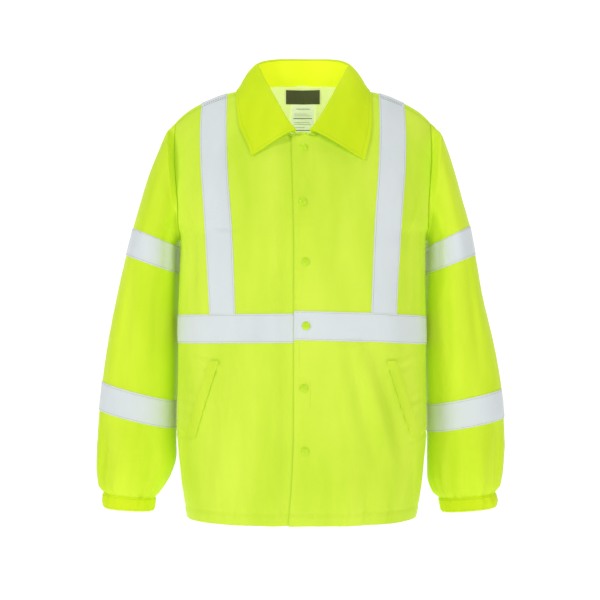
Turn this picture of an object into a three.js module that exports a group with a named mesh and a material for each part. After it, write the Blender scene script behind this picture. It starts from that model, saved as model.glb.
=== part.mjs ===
// A hi-vis work jacket, filled out as it is worn, with no wearer in it.
// Millimetres, +Z up. The front faces -Y and the wearer's left is at +X.
// The origin is the middle of the neck, level with the inner ends of the shoulder seams.
//
// The cut pieces are walls of cloth worked out from two forms. The body is a rounded section at
// each height with a dome over the shoulders. The sleeve is a ring at each level from the armhole
// to the cuff. Tapes, labels and welts are made from the places of the cloth they lie on.
import * as THREE from "three";

// Cloth, tape and seams
const CLOTH = 1.4;
const TAPE = 0.9;
const SEAM = 0.3;
const HALF_SEAM = SEAM / 2;
const SHOULDER_SEAM = 0.5;
const SPLIT_MARGIN = 0.04;
const HAIR = 1e-7;
const TAPE_WIDTH = 50.8;

// The lower and upper ends of the body's straight part
const HEM = -787;
const CHEST = -300;

// The body's sections. height is the true height up to CHEST. Above it the height is stretched to
// follow the ridge of the shoulders, which counts as 0.
const BODY = [
  { height: -787, half: 210, front: 137, back: 128, drift: -2.5 },
  { height: -765, half: 214, front: 140, back: 131, drift: -2.5 },
  { height: -722, half: 221, front: 144, back: 135, drift: -2.5 },
  { height: -600, half: 230, front: 146, back: 138, drift: -2 },
  { height: -500, half: 229, front: 145, back: 137, drift: -2 },
  { height: -440, half: 228, front: 144, back: 136, drift: -2 },
  { height: -340, half: 226, front: 142, back: 137, drift: -1 },
  { height: -300, half: 226, front: 141, back: 138, drift: 0 },
  { height: -272, half: 226.5, front: 140, back: 139, drift: 0 },
  { height: -242, half: 239, front: 138, back: 140, drift: 0 },
  { height: -205, half: 248, front: 135, back: 139, drift: 0 },
  { height: -150, half: 255, front: 129, back: 134, drift: 0 },
  { height: -75, half: 260, front: 120, back: 121, drift: 0 },
  { height: 0, half: 260, front: 112, back: 112, drift: 0 },
];
const SECTION_POWER = 2.5;
const DOME_POWER = { front: 1.7, back: 2.6 };
const RIDGE_SHIFT = 8;

// The ridge of the shoulders, from the middle out to the sleeve
const RIDGE = [
  { x: 0, z: 46 },
  { x: 40, z: 34 },
  { x: 85, z: 8 },
  { x: 110, z: -1 },
  { x: 139, z: -7 },
  { x: 180, z: -22 },
  { x: 205, z: -35 },
  { x: 222, z: -47 },
  { x: 236, z: -60 },
  { x: 262, z: -84 },
];
// The shoulder seam lies in front of the ridge by this angle of the dome.
const SEAM_ANGLE = 15;

// The edge of the armhole, and the height of the armpit
const ARMPIT = -272;
const ARMHOLE = [
  { height: -272, x: 226.5 },
  { height: -205, x: 227.5 },
  { height: -150, x: 231 },
  { height: -95, x: 235 },
  { height: -50, x: 236.5 },
  { height: 0, x: 237 },
];

// The neckline is an oval seen from above. Its front corner is at a height of the body's table.
const NECK = { half: 85, front: 95, back: 60, corner: -125 };

// The front edges: the wearer's left front laps over the right one, which steps in under it.
const FRONT_EDGE = [
  { height: -787, x: -25.5 },
  { height: -715, x: -19.5 },
  { height: -620, x: -16 },
  { height: -300, x: -15.5 },
  { height: -200, x: -18 },
  { height: -125, x: -20.5 },
];
const UNDERLAP = 20.5;
const STEP = { depth: 3.8, from: -54, to: -30 };

// Reflective tape down each side of the body and round the waist. drop is how far the waist tape
// falls from the middle to the side.
const STRAP = [
  { height: -787, inner: 110, outer: 155 },
  { height: -415, inner: 119, outer: 165 },
  { height: -314, inner: 123, outer: 170.5 },
  { height: -237, inner: 127.5, outer: 175 },
  { height: -185, inner: 132, outer: 179.5 },
  { height: -131, inner: 136, outer: 184 },
  { height: -59, inner: 139, outer: 187 },
  { height: 0, inner: 140, outer: 187 },
];
const WAIST_RIGHT = { top: -414.5, drop: 4 };
const WAIST_LEFT = { top: -410, drop: 12 };
const WAIST_BACK = { top: -414, drop: 8 };

// The sleeves, one row for each ring: its outer and inner ends, how far back its middle lies, and
// half its depth from front to back. Widths are measured from the middle of the body.
const SLEEVE_RIGHT = [
  { outerX: 250, outerZ: -78, innerX: 229, innerZ: -279, back: 4, depth: 74 },
  { outerX: 267, outerZ: -116, innerX: 231, innerZ: -281, back: 6, depth: 80 },
  { outerX: 284, outerZ: -158, innerX: 232.5, innerZ: -283.5, back: 8, depth: 85 },
  { outerX: 300, outerZ: -208, innerX: 233.5, innerZ: -286.5, back: 11, depth: 88 },
  { outerX: 315, outerZ: -258, innerX: 234.5, innerZ: -291, back: 14, depth: 90 },
  { outerX: 328, outerZ: -308, innerX: 235, innerZ: -341, back: 18, depth: 89 },
  { outerX: 345, outerZ: -378, innerX: 236.5, innerZ: -408, back: 23, depth: 85 },
  { outerX: 361, outerZ: -456, innerX: 237, innerZ: -488, back: 25, depth: 80 },
  { outerX: 374, outerZ: -541, innerX: 238, innerZ: -577, back: 25, depth: 74 },
  { outerX: 379.5, outerZ: -594, innerX: 238, innerZ: -629, back: 25, depth: 71 },
  { outerX: 382.5, outerZ: -652, innerX: 236.5, innerZ: -680, back: 20, depth: 65 },
  { outerX: 384, outerZ: -698, innerX: 246.5, innerZ: -716, back: 15, depth: 55 },
  { outerX: 380, outerZ: -735, innerX: 269, innerZ: -749, back: 11, depth: 40 },
  { outerX: 371.5, outerZ: -748, innerX: 276, innerZ: -757, back: 10, depth: 33 },
];
const SLEEVE_LEFT = [
  { outerX: 254, outerZ: -80, innerX: 229, innerZ: -279, back: 4, depth: 74 },
  { outerX: 267.5, outerZ: -112, innerX: 231, innerZ: -281, back: 6, depth: 80 },
  { outerX: 281, outerZ: -154, innerX: 232, innerZ: -283.5, back: 8, depth: 85 },
  { outerX: 295.5, outerZ: -206, innerX: 232.5, innerZ: -286.5, back: 11, depth: 88 },
  { outerX: 309, outerZ: -254, innerX: 233, innerZ: -291, back: 14, depth: 90 },
  { outerX: 319.5, outerZ: -307, innerX: 232.5, innerZ: -341, back: 18, depth: 89 },
  { outerX: 334.5, outerZ: -380, innerX: 231.5, innerZ: -408, back: 23, depth: 85 },
  { outerX: 352, outerZ: -456, innerX: 231.5, innerZ: -488, back: 25, depth: 80 },
  { outerX: 370.5, outerZ: -555, innerX: 233.5, innerZ: -584, back: 25, depth: 74 },
  { outerX: 375, outerZ: -609, innerX: 233.5, innerZ: -636, back: 25, depth: 71 },
  { outerX: 375.5, outerZ: -655, innerX: 232, innerZ: -684, back: 20, depth: 65 },
  { outerX: 373, outerZ: -699, innerX: 232.5, innerZ: -718, back: 15, depth: 55 },
  { outerX: 367, outerZ: -735, innerX: 244, innerZ: -749, back: 11, depth: 40 },
  { outerX: 358.5, outerZ: -748, innerX: 254, innerZ: -758, back: 10, depth: 33 },
];
const UPPER_TAPE_RING = 5;
const LOWER_TAPE_RING = 9;
const SLEEVE_POWER = 2.2;
const SETTLED_RING = 6;

// The cuffs below the sleeves' last rings. The gathers fade out up the sleeve.
const CUFF_RIGHT = [
  { outerX: 372.5, outerZ: -762, innerX: 277, innerZ: -769, back: 10, depth: 32 },
  { outerX: 370, outerZ: -776, innerX: 279, innerZ: -782, back: 10, depth: 31 },
];
const CUFF_LEFT = [
  { outerX: 361.5, outerZ: -762, innerX: 256.5, innerZ: -771, back: 10, depth: 32 },
  { outerX: 359, outerZ: -775, innerX: 259, innerZ: -784, back: 10, depth: 31 },
];
const CUFF_CLOTH = 1.8;
const GATHER_DEPTH = { cuff: 1.1, sleeve: 2.2 };
const GATHERED_RINGS = 3;

// The collar, one row for each angle round the neck from the middle of the back: the line of its
// fold, its outer edge seen from above, and how much wider the leaf is on the wearer's left
const COLLAR = [
  { angle: 0, foldX: 0, foldY: 68, foldZ: 64, edgeX: 0, edgeY: 96, wider: 0 },
  { angle: 30, foldX: 39, foldY: 62, foldZ: 62.5, edgeX: 52, edgeY: 90, wider: 0 },
  { angle: 60, foldX: 68, foldY: 42, foldZ: 56.5, edgeX: 96, edgeY: 64, wider: 0 },
  { angle: 75, foldX: 80, foldY: 25, foldZ: 50, edgeX: 113, edgeY: 36, wider: 0 },
  { angle: 90, foldX: 84, foldY: 5, foldZ: 43, edgeX: 121, edgeY: 8, wider: 0 },
  { angle: 100, foldX: 80, foldY: -10, foldZ: 33, edgeX: 122, edgeY: -10, wider: 2 },
  { angle: 112, foldX: 74, foldY: -25, foldZ: 18, edgeX: 121, edgeY: -26, wider: 3 },
  { angle: 125, foldX: 63, foldY: -42, foldZ: -4, edgeX: 119, edgeY: -42, wider: 5 },
  { angle: 138, foldX: 50, foldY: -58, foldZ: -30, edgeX: 115, edgeY: -58, wider: 8 },
  { angle: 150, foldX: 38, foldY: -71, foldZ: -55, edgeX: 104, edgeY: -74, wider: 14 },
  { angle: 160, foldX: 27, foldY: -81, foldZ: -75, edgeX: 96, edgeY: -84, wider: 17 },
  { angle: 171, foldX: 14, foldY: -89, foldZ: -91, edgeX: 91, edgeY: -91.5, wider: 18 },
];
const COLLAR_CLOTH = 1.8;
const COLLAR_END = 9;
const STAND_ROWS = 3;
const LEAF_ROWS = 5;
const SEAM_CLEAR = 0.45;
const FOLD_CLEAR = 9;
const LEAF_CLEAR = 2;
const LEAF_BULGE = 5;
const STAND_BULGE = 2;
const FOLD_TURN = { out: 3, up: 1.2 };

// Snap fasteners down the front
const SNAPS = [
  { x: 0.5, z: -119 },
  { x: -0.5, z: -218.5 },
  { x: 4.5, z: -324.5 },
  { x: 5, z: -436 },
  { x: 1.5, z: -545 },
  { x: 3, z: -655 },
];
const SNAP = { radius: 7.4, rim: 1, dome: 2.7, shoulder: 0.72, sides: 14, clear: 0.5 };
const TAPED_SNAP = 3;

// Slanted pocket welts, measured from the middle of the body
const POCKET = { topX: 165, topZ: -498, lowX: 211, lowZ: -637, width: 18, cells: 10, across: 3 };
const WELT = { cloth: 1.2, gap: 0.8 };

// Lining and labels inside the back of the neck
const LINING = { cloth: 1, gap: 0.4, row: 14 };
const LABEL_GAP = 0.8;
const NECK_LABEL = { width: 66, height: 25, top: 11, x: 0, lean: 0, cloth: 0.8 };
const CARE_LABEL = { width: 46, height: 56, top: -14.6, x: 1, lean: 3, cloth: 0.6 };

// Folds of the body. Each runs from one point to another, as seen on its face. A positive depth
// stands out and a negative one is a trough.
const BODY_FOLDS = [
  { face: -1, x0: 96, z0: -476, x1: 152, z1: -668, width: 15, depth: 3.6 },
  { face: -1, x0: 124, z0: -484, x1: 176, z1: -680, width: 15, depth: -3.2 },
  { face: -1, x0: 60, z0: -484, x1: 96, z1: -655, width: 14, depth: 2.6 },
  { face: -1, x0: 80, z0: -490, x1: 122, z1: -670, width: 13, depth: -2.6 },
  { face: -1, x0: 84, z0: -670, x1: 78, z1: -785, width: 16, depth: 2.4 },
  { face: -1, x0: -106, z0: -476, x1: -136, z1: -700, width: 20, depth: 4 },
  { face: -1, x0: -172, z0: -600, x1: -182, z1: -745, width: 24, depth: -4.2 },
  { face: -1, x0: -74, z0: -495, x1: -94, z1: -720, width: 22, depth: -2.8 },
  { face: -1, x0: -44, z0: -580, x1: -44, z1: -770, width: 18, depth: 2 },
  { face: -1, x0: 194, z0: -225, x1: 188, z1: -404, width: 14, depth: -3.4 },
  { face: -1, x0: -198, z0: -250, x1: -196, z1: -404, width: 14, depth: -3 },
  { face: -1, x0: -70, z0: -190, x1: -88, z1: -400, width: 30, depth: -2.2 },
  { face: -1, x0: 76, z0: -200, x1: 70, z1: -400, width: 32, depth: -2 },
  { face: 1, x0: -70, z0: -150, x1: -96, z1: -400, width: 26, depth: -3 },
  { face: 1, x0: 64, z0: -160, x1: 90, z1: -404, width: 28, depth: -3.4 },
  { face: 1, x0: -192, z0: -240, x1: -180, z1: -404, width: 20, depth: -4 },
  { face: 1, x0: 190, z0: -230, x1: 182, z1: -404, width: 18, depth: -3.6 },
  { face: 1, x0: -60, z0: -484, x1: -84, z1: -770, width: 24, depth: 4 },
  { face: 1, x0: -114, z0: -495, x1: -142, z1: -775, width: 22, depth: -4.4 },
  { face: 1, x0: 36, z0: -484, x1: 30, z1: -765, width: 26, depth: -3.2 },
  { face: 1, x0: 90, z0: -480, x1: 114, z1: -775, width: 22, depth: 4 },
  { face: 1, x0: 154, z0: -495, x1: 172, z1: -755, width: 22, depth: -3.8 },
];

// Folds of the sleeves. turn is the angle from the outside of the sleeve, with the front at 90.
const SLEEVE_FOLDS = [
  { turn0: 62, z0: -340, turn1: 70, z1: -540, width: 15, depth: -3.4 },
  { turn0: 98, z0: -330, turn1: 100, z1: -530, width: 15, depth: 3 },
  { turn0: 128, z0: -140, turn1: 132, z1: -345, width: 14, depth: -3.6 },
  { turn0: 74, z0: -140, turn1: 82, z1: -300, width: 18, depth: 2.2 },
  { turn0: 42, z0: -635, turn1: 36, z1: -740, width: 13, depth: -4.4 },
  { turn0: 78, z0: -640, turn1: 74, z1: -740, width: 12, depth: 3 },
  { turn0: 118, z0: -650, turn1: 114, z1: -740, width: 12, depth: -3.6 },
  { turn0: 250, z0: -190, turn1: 238, z1: -440, width: 18, depth: -4 },
  { turn0: 285, z0: -340, turn1: 292, z1: -580, width: 17, depth: -3.6 },
  { turn0: 300, z0: -640, turn1: 306, z1: -735, width: 13, depth: -4.2 },
  { turn0: 240, z0: -650, turn1: 244, z1: -735, width: 13, depth: -4 },
];
const SLEEVE_GIRTH = 430;

const cloth = (color, roughness) => new THREE.MeshStandardMaterial({ color, roughness, metalness: 0 });
const SHELL = cloth(0xcfee3c, 0.62);
const SILVER = cloth(0xdde3e4, 0.42);
const SNAP_PLASTIC = cloth(0xc4e81a, 0.3);
const PALE_LINING = cloth(0xe6ecae, 0.75);
const DARK_LABEL = cloth(0x45463a, 0.7);
const WHITE_LABEL = cloth(0xe9ecdc, 0.6);

const FRONT = -1;
const BACK = 1;
const RIGHT = -1;
const LEFT = 1;
const radians = THREE.MathUtils.degToRad;
const degrees = THREE.MathUtils.radToDeg;
const mix = THREE.MathUtils.lerp;
const clamp = THREE.MathUtils.clamp;
const vector = (x, y, z) => new THREE.Vector3(x, y, z);
const smooth = (t) => clamp(t, 0, 1) ** 2 * (3 - 2 * clamp(t, 0, 1));
const signedPower = (v, power) => Math.sign(v) * Math.abs(v) ** power;
const evenly = (from, to, cells) => Array.from({ length: cells + 1 }, (_, i) => mix(from, to, i / cells));

// A smooth curve through a column of a table, read at any place along its key. It never overshoots.
function curve(table, key, column) {
  const at = table.map((row) => row[key]);
  const value = table.map((row) => row[column]);
  const last = at.length - 1;
  const slope = at.slice(1).map((k, i) => (value[i + 1] - value[i]) / (k - at[i]));
  const tangent = at.map((_, i) => {
    if (i === 0 || i === last) return slope[Math.max(0, i - 1)];
    const [a, b] = [slope[i - 1], slope[i]];
    return a * b <= 0 ? 0 : (2 * a * b) / (a + b);
  });
  return (place) => {
    const k = clamp(place, at[0], at[last]);
    let i = 0;
    while (i < last - 1 && k > at[i + 1]) i++;
    const span = at[i + 1] - at[i];
    const t = (k - at[i]) / span;
    const rise = t * t * (3 - 2 * t);
    const bend = tangent[i] * t * (1 - t) ** 2 - tangent[i + 1] * t * t * (1 - t);
    return mix(value[i], value[i + 1], rise) + span * bend;
  };
}

const bodyHalf = curve(BODY, "height", "half");
const bodyFront = curve(BODY, "height", "front");
const bodyBack = curve(BODY, "height", "back");
const bodyDrift = curve(BODY, "height", "drift");
const ridgeZ = curve(RIDGE, "x", "z");
const armholeX = curve(ARMHOLE, "height", "x");
const frontEdgeX = curve(FRONT_EDGE, "height", "x");
const strapInner = curve(STRAP, "height", "inner");
const strapOuter = curve(STRAP, "height", "outer");

// How far a set of folds stands out at a place of an unrolled surface, given round it and up it
function foldHeight(folds, round, up) {
  let height = 0;
  for (const { from, to, width, depth } of folds) {
    const [dx, dz] = [to[0] - from[0], to[1] - from[1]];
    const along = ((round - from[0]) * dx + (up - from[1]) * dz) / (dx * dx + dz * dz);
    const inside = clamp(along, 0, 1);
    const off = Math.hypot(round - from[0] - inside * dx, up - from[1] - inside * dz) / width;
    const strength = 0.4 + 0.6 * Math.sin(Math.PI * inside);
    height += depth * strength * Math.exp(-off * off);
  }
  return height;
}

// A place on the body is (across, rise). across runs from -1 at the wearer's right side over 0 in
// the middle to 1 at the left. rise runs from 0 at the hem to 1 at the chest line and to 2 on the
// ridge of the shoulders. Past 2 it comes down the other face.
const riseOfDome = (angle) => 1 + angle / 90;
const levelOf = (rise) =>
  rise <= 1 ? mix(HEM, CHEST, rise) : CHEST * (1 - Math.sin(radians((rise - 1) * 90)));
const riseOf = (level) =>
  level <= CHEST ? (level - HEM) / (CHEST - HEM) : riseOfDome(degrees(Math.asin(1 - level / CHEST)));

function acrossAt(x, rise) {
  const level = levelOf(rise > 2 ? 4 - rise : rise);
  const share = clamp((x - bodyDrift(level)) / bodyHalf(level), -1, 1);
  return degrees(Math.asin(signedPower(share, SECTION_POWER / 2))) / 90;
}

function bareBody(face, across, rise) {
  const [side, up] = rise > 2 ? [-face, 4 - rise] : [face, rise];
  const level = levelOf(up);
  const turn = radians(across * 90);
  const x = bodyDrift(level) + bodyHalf(level) * signedPower(Math.sin(turn), 2 / SECTION_POWER);
  const round = Math.max(0, Math.cos(turn)) ** (2 / SECTION_POWER);
  const depth = side === FRONT ? bodyFront(level) : bodyBack(level);
  if (up <= 1) return vector(x, side * depth * round, level);
  const lift = Math.sin(radians((up - 1) * 90));
  const power = side === FRONT ? DOME_POWER.front : DOME_POWER.back;
  const dome = Math.max(0, 1 - lift ** power) ** (1 / power);
  const z = mix(CHEST, ridgeZ(Math.abs(x)), lift);
  return vector(x, RIDGE_SHIFT * lift + side * depth * round * dome, z);
}

function bodyNormal(face, across, rise) {
  const step = 0.004;
  const [a0, a1] = [Math.max(-1, across - step), Math.min(1, across + step)];
  const r0 = Math.max(0, rise - step);
  const round = bareBody(face, a1, rise).sub(bareBody(face, a0, rise));
  const up = bareBody(face, across, rise + step).sub(bareBody(face, across, r0));
  return round.cross(up).normalize().multiplyScalar(-face);
}

// The girth of the body from the middle of the front to a place of a face, over the wearer's left
const BODY_GIRTH = 1190;
function girthAt(face, across) {
  const turn = across * 90;
  const round = face === FRONT ? turn : 180 - turn;
  return (((round + 360) % 360) / 360) * BODY_GIRTH;
}

const bodyFolds = BODY_FOLDS.map(({ face, x0, z0, x1, z1, width, depth }) => {
  const from = [girthAt(face, acrossAt(x0, riseOf(Math.min(z0, CHEST)))), z0];
  const to = [girthAt(face, acrossAt(x1, riseOf(Math.min(z1, CHEST)))), z1];
  return { from, to, width, depth };
});

// The cloth of the body: its outer surface with the folds, and the way it faces. The folds fade
// out towards the shoulders and the front edges.
function body(face, across, rise) {
  const point = bareBody(face, across, rise);
  const normal = bodyNormal(face, across, rise);
  const calm = 1 - smooth((rise - 1.3) / 0.35);
  if (calm > 0) {
    const girth = girthAt(face, across);
    const height = [girth, girth - BODY_GIRTH, girth + BODY_GIRTH]
      .reduce((sum, round) => sum + foldHeight(bodyFolds, round, point.z), 0);
    const edge = face === FRONT ? smooth((Math.abs(point.x) - 24) / 40) : 1;
    point.addScaledVector(normal, height * calm * edge);
  }
  return { point, normal };
}

// The rise at which a face of the body reaches a given depth over a given width
function riseAtDepth(face, x, y) {
  let [low, high] = [1, 2];
  for (let i = 0; i < 40; i++) {
    const middle = (low + high) / 2;
    const reach = bareBody(face, acrossAt(x, middle), middle).y;
    if (reach * face > y * face) low = middle;
    else high = middle;
  }
  return low;
}

// The neckline by its angle from the middle of the front, positive to the wearer's left. The rise
// is counted up the front, and past 2 down the back.
function neckline(angle) {
  const cosine = Math.cos(radians(angle));
  const face = cosine > 0 ? FRONT : BACK;
  const x = NECK.half * Math.sin(radians(angle));
  const y = RIDGE_SHIFT - (face === FRONT ? NECK.front : NECK.back) * cosine;
  const rise = riseAtDepth(face, x, y);
  return { x, rise: face === FRONT ? rise : 4 - rise };
}

const SEAM_RISE = riseOfDome(90 - SEAM_ANGLE);
const NECK_CORNER = degrees(Math.asin(UNDERLAP / NECK.half));
const NECK_SEAM = (() => {
  let [low, high] = [30, 100];
  for (let i = 0; i < 40; i++) {
    const middle = (low + high) / 2;
    if (neckline(middle).rise < SEAM_RISE) low = middle;
    else high = middle;
  }
  return low;
})();

// Whether a cell of four places is split from its first to its third: it is, unless the other way
// stands further out
function splitsFirst([a, b, c, d]) {
  const outward = a.normal.clone().add(b.normal).add(c.normal).add(d.normal).normalize();
  const first = a.point.clone().add(c.point);
  const second = b.point.clone().add(d.point);
  return second.sub(first).dot(outward) < SPLIT_MARGIN;
}

// Joins rows of places into a surface that faces along their normals. A closed surface's rows
// join their own ends.
function surfaceOf(rows, closed = false) {
  const places = rows.flat();
  const columns = rows[0].length;
  const cells = [];
  for (let r = 0; r + 1 < rows.length; r++) {
    for (let c = 0; c < columns - (closed ? 0 : 1); c++) {
      const d = (c + 1) % columns;
      cells.push([r * columns + c, r * columns + d, (r + 1) * columns + d, (r + 1) * columns + c]);
    }
  }
  const facing = cells.reduce((sum, cell) => {
    const [a, b, c, d] = cell.map((n) => places[n].point);
    return sum + c.clone().sub(a).cross(d.clone().sub(b)).dot(places[cell[0]].normal);
  }, 0);
  const faces = cells.flatMap((cell) => {
    const [a, b, c, d] = cell;
    return splitsFirst(cell.map((n) => places[n])) ? [[a, b, c], [a, c, d]] : [[a, b, d], [b, c, d]];
  });
  if (facing < 0) faces.forEach((face) => face.reverse());
  return { places, faces };
}

// Joins surfaces into one at the places they share
function joined(surfaces) {
  const numbers = new Map();
  const places = [];
  const faces = [];
  for (const surface of surfaces) {
    const now = surface.places.map((place) => {
      const key = place.point.toArray().map((v) => Math.round(v * 1000)).join();
      if (!numbers.has(key)) numbers.set(key, places.push(place) - 1);
      return numbers.get(key);
    });
    faces.push(...surface.faces.map((face) => face.map((n) => now[n])));
  }
  return { places, faces };
}

// A wall of cloth over a surface. Its outside lies lift above the surface, and its inside lies
// its thickness below that.
function wall({ places, faces }, thickness, lift = 0) {
  const outside = places.map((p) => p.point.clone().addScaledVector(p.normal, lift));
  const inside = places.map((p) => p.point.clone().addScaledVector(p.normal, lift - thickness));
  const count = places.length;
  const edges = new Set(faces.flatMap(([a, b, c]) => [`${a},${b}`, `${b},${c}`, `${c},${a}`]));
  const index = [];
  for (const [a, b, c] of faces) {
    index.push(a, b, c, a + count, c + count, b + count);
    for (const [from, to] of [[a, b], [b, c], [c, a]]) {
      if (!edges.has(`${to},${from}`)) index.push(to, from, from + count, to, from + count, to + count);
    }
  }
  const geometry = new THREE.BufferGeometry();
  const numbers = [...outside, ...inside].flatMap((p) => p.toArray());
  geometry.setAttribute("position", new THREE.Float32BufferAttribute(numbers, 3));
  geometry.setIndex(index);
  return geometry;
}

// Moves a place towards its neighbour, to leave a seam's gap
function towards(place, neighbour, distance) {
  const way = neighbour.point.clone().sub(place.point);
  return { point: place.point.clone().addScaledVector(way.normalize(), distance), normal: place.normal };
}

// Draws in the edges of rows of places: the first and last rows, and the ends of the rows
function drawnIn(rows, { low = 0, high = 0, start = 0, end = 0 }) {
  const last = rows.length - 1;
  const made = rows.map((row, r) => {
    if (r === 0 && low) return row.map((place, c) => towards(place, rows[1][c], low));
    if (r === last && high) return row.map((place, c) => towards(place, rows[last - 1][c], high));
    return [...row];
  });
  const final = rows[0].length - 1;
  for (const row of made) {
    if (start) row[0] = towards(row[0], row[1], start);
    if (end) row[final] = towards(row[final], row[final - 1], end);
  }
  return made;
}

// A place on the triangles between the places of rows, at a fractional row and column. Its normal
// is shortened between places, which keeps offsets of it on the offset triangles.
function between(rows, row, column) {
  const r = clamp(Math.floor(row), 0, rows.length - 2);
  const c = clamp(Math.floor(column), 0, rows[0].length - 2);
  const [u, v] = [row - r, column - c];
  const cell = [rows[r][c], rows[r][c + 1], rows[r + 1][c + 1], rows[r + 1][c]];
  const shares = splitsFirst(cell)
    ? (v > u ? [1 - v, v - u, u, 0] : [1 - u, 0, v, u - v])
    : (u + v < 1 ? [1 - u - v, v, 0, u] : [0, 1 - u, u + v - 1, 1 - v]);
  const blend = (part) =>
    cell.reduce((sum, place, i) => sum.addScaledVector(place[part], shares[i]), vector(0, 0, 0));
  return { point: blend("point"), normal: blend("normal") };
}

// The place on a surface's triangles that has a given x and z. Where the surface passes them
// twice, it is the place that stands furthest out on its face.
function placeAt({ places, faces }, x, z, face) {
  let found = null;
  for (const corners of faces) {
    const [from, to, third] = corners.map((n) => places[n]);
    const [ax, az] = [to.point.x - from.point.x, to.point.z - from.point.z];
    const [bx, bz] = [third.point.x - from.point.x, third.point.z - from.point.z];
    const [px, pz] = [x - from.point.x, z - from.point.z];
    const area = ax * bz - az * bx;
    const [s, t] = [(px * bz - pz * bx) / area, (ax * pz - az * px) / area];
    if (s < -HAIR || t < -HAIR || s + t > 1 + HAIR) continue;
    const blend = (part) => from[part].clone().multiplyScalar(1 - s - t)
      .addScaledVector(to[part], s).addScaledVector(third[part], t);
    const place = { point: blend("point"), normal: blend("normal") };
    if (!found || place.point.y * face > found.point.y * face) found = place;
  }
  return found;
}

// Rows and columns of a half of the body. From the hem the rows go up to the waist tape, over it,
// up to the chest line, over the dome up to the corner of the neckline, and along the neckline.
const ROWS_BELOW = 8;
const ROWS_TAPE = 1;
const ROWS_ABOVE = 3;
const NECK_ROWS = 5;
const DOME_LEVELS = { front: [-272, -242, -205, -165, -125], back: [-272, -242, -198, -140, -82] };
// A row leaves the neckline steeply by this power.
const ROW_DROP = 1.5;
const COLUMNS = [6, 2, 5];
const TAPE_LOW = ROWS_BELOW;
const TAPE_HIGH = ROWS_BELOW + ROWS_TAPE;
const ARMPIT_ROW = TAPE_HIGH + ROWS_ABOVE + 1;
const STRAP_START = COLUMNS[0];
const STRAP_END = COLUMNS[0] + COLUMNS[1];

function halfPanel(face, side) {
  const isFront = face === FRONT;
  const waist = isFront ? (side === LEFT ? WAIST_LEFT : WAIST_RIGHT) : WAIST_BACK;
  const tapeTop = (x) => waist.top - waist.drop * (Math.abs(x) / bodyHalf(waist.top)) ** 2;
  const middleX = (level) => {
    if (!isFront) return 0;
    return side === LEFT ? frontEdgeX(level) : UNDERLAP;
  };
  const straight = [
    ...evenly(0, 1, ROWS_BELOW).map((t) => (x) => mix(HEM, tapeTop(x) - TAPE_WIDTH, t)),
    ...evenly(0, 1, ROWS_TAPE).slice(1).map((t) => (x) => tapeTop(x) - TAPE_WIDTH * (1 - t)),
    ...evenly(0, 1, ROWS_ABOVE).slice(1).map((t) => (x) => mix(tapeTop(x), CHEST, t)),
  ];
  const corner = isFront ? riseOf(NECK.corner) : 4 - neckline(180).rise;
  const levels = DOME_LEVELS[isFront ? "front" : "back"];
  const lastRise = riseOf(levels[levels.length - 1]);
  const seam = isFront ? SEAM_RISE : 4 - SEAM_RISE;
  const cornerAngle = isFront ? -NECK_CORNER : 180;
  const middles = [
    ...levels.map((level, i) => {
      const rise = mix(1, corner, (i + 1) / levels.length);
      return { outer: riseOf(level), rise, x: middleX(levelOf(rise)) };
    }),
    ...evenly(0, 1, NECK_ROWS).slice(1).map((t) => {
      const neck = neckline(mix(cornerAngle, NECK_SEAM, t));
      return { outer: mix(lastRise, seam, t), rise: isFront ? neck.rise : 4 - neck.rise, x: side * neck.x };
    }),
  ];
  const rowThrough = (level, riseAt, middle) => {
    const armhole = level >= ARMPIT ? side * armholeX(level) : side * 1000;
    const stops = [middle.x, side * strapInner(level), side * strapOuter(level), armhole];
    const spots = stops.map((x, i) => {
      const rise = i === 0 ? middle.rise : riseAt(x);
      return { across: acrossAt(x, rise), rise };
    });
    const row = [spots[0]];
    COLUMNS.forEach((cells, k) => {
      for (let c = 1; c <= cells; c++) {
        const across = mix(spots[k].across, spots[k + 1].across, c / cells);
        const share = k === 0 ? 1 - (1 - c / cells) ** ROW_DROP : c / cells;
        const rise = mix(spots[k].rise, spots[k + 1].rise, share);
        row.push({ across, rise });
      }
    });
    return row.map(({ across, rise }) => stepped(body(face, across, rise)));
  };
  const stepped = (place) => {
    if (isFront && side === RIGHT) {
      const share = smooth((place.point.x - STEP.from) / (STEP.to - STEP.from));
      place.point.addScaledVector(place.normal, -STEP.depth * share);
    }
    return place;
  };
  return [
    ...straight.map((heightAt) => {
      const level = heightAt(0);
      const riseAt = (x) => riseOf(heightAt(clamp(x, -bodyHalf(level), bodyHalf(level))));
      const middle = { x: middleX(level), rise: riseAt(0) };
      return rowThrough(Math.min(level, CHEST), riseAt, middle);
    }),
    ...middles.map((middle) => {
      const level = levelOf(middle.outer > 2 ? 4 - middle.outer : middle.outer);
      return rowThrough(level, () => middle.outer, middle);
    }),
  ];
}

const panels = {
  frontLeft: halfPanel(FRONT, LEFT),
  frontRight: halfPanel(FRONT, RIGHT),
  backLeft: halfPanel(BACK, LEFT),
  backRight: halfPanel(BACK, RIGHT),
};
const LAST_COLUMN = panels.frontLeft[0].length - 1;
const fronts = { left: surfaceOf(panels.frontLeft), right: surfaceOf(panels.frontRight) };

// The back in one piece, from both halves cut in the same way. They meet in the middle up to the
// neckline.
const backOf = (cut) => joined([panels.backRight, panels.backLeft].map((rows) => surfaceOf(cut(rows))));

// The loop of an armhole, from the armpit up the front to the shoulder seam and down the back,
// with a place added half way along each side
function armholeLoop(front, back) {
  const edge = (rows) => rows.slice(ARMPIT_ROW).map((row) => row[LAST_COLUMN]);
  const corners = [...edge(front), ...edge(back).slice(1, -1).reverse()];
  return corners.flatMap((place, i) => {
    const next = corners[(i + 1) % corners.length];
    const point = place.point.clone().lerp(next.point, 0.5);
    return [place, { point, normal: place.normal.clone().add(next.normal).normalize() }];
  });
}

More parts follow.
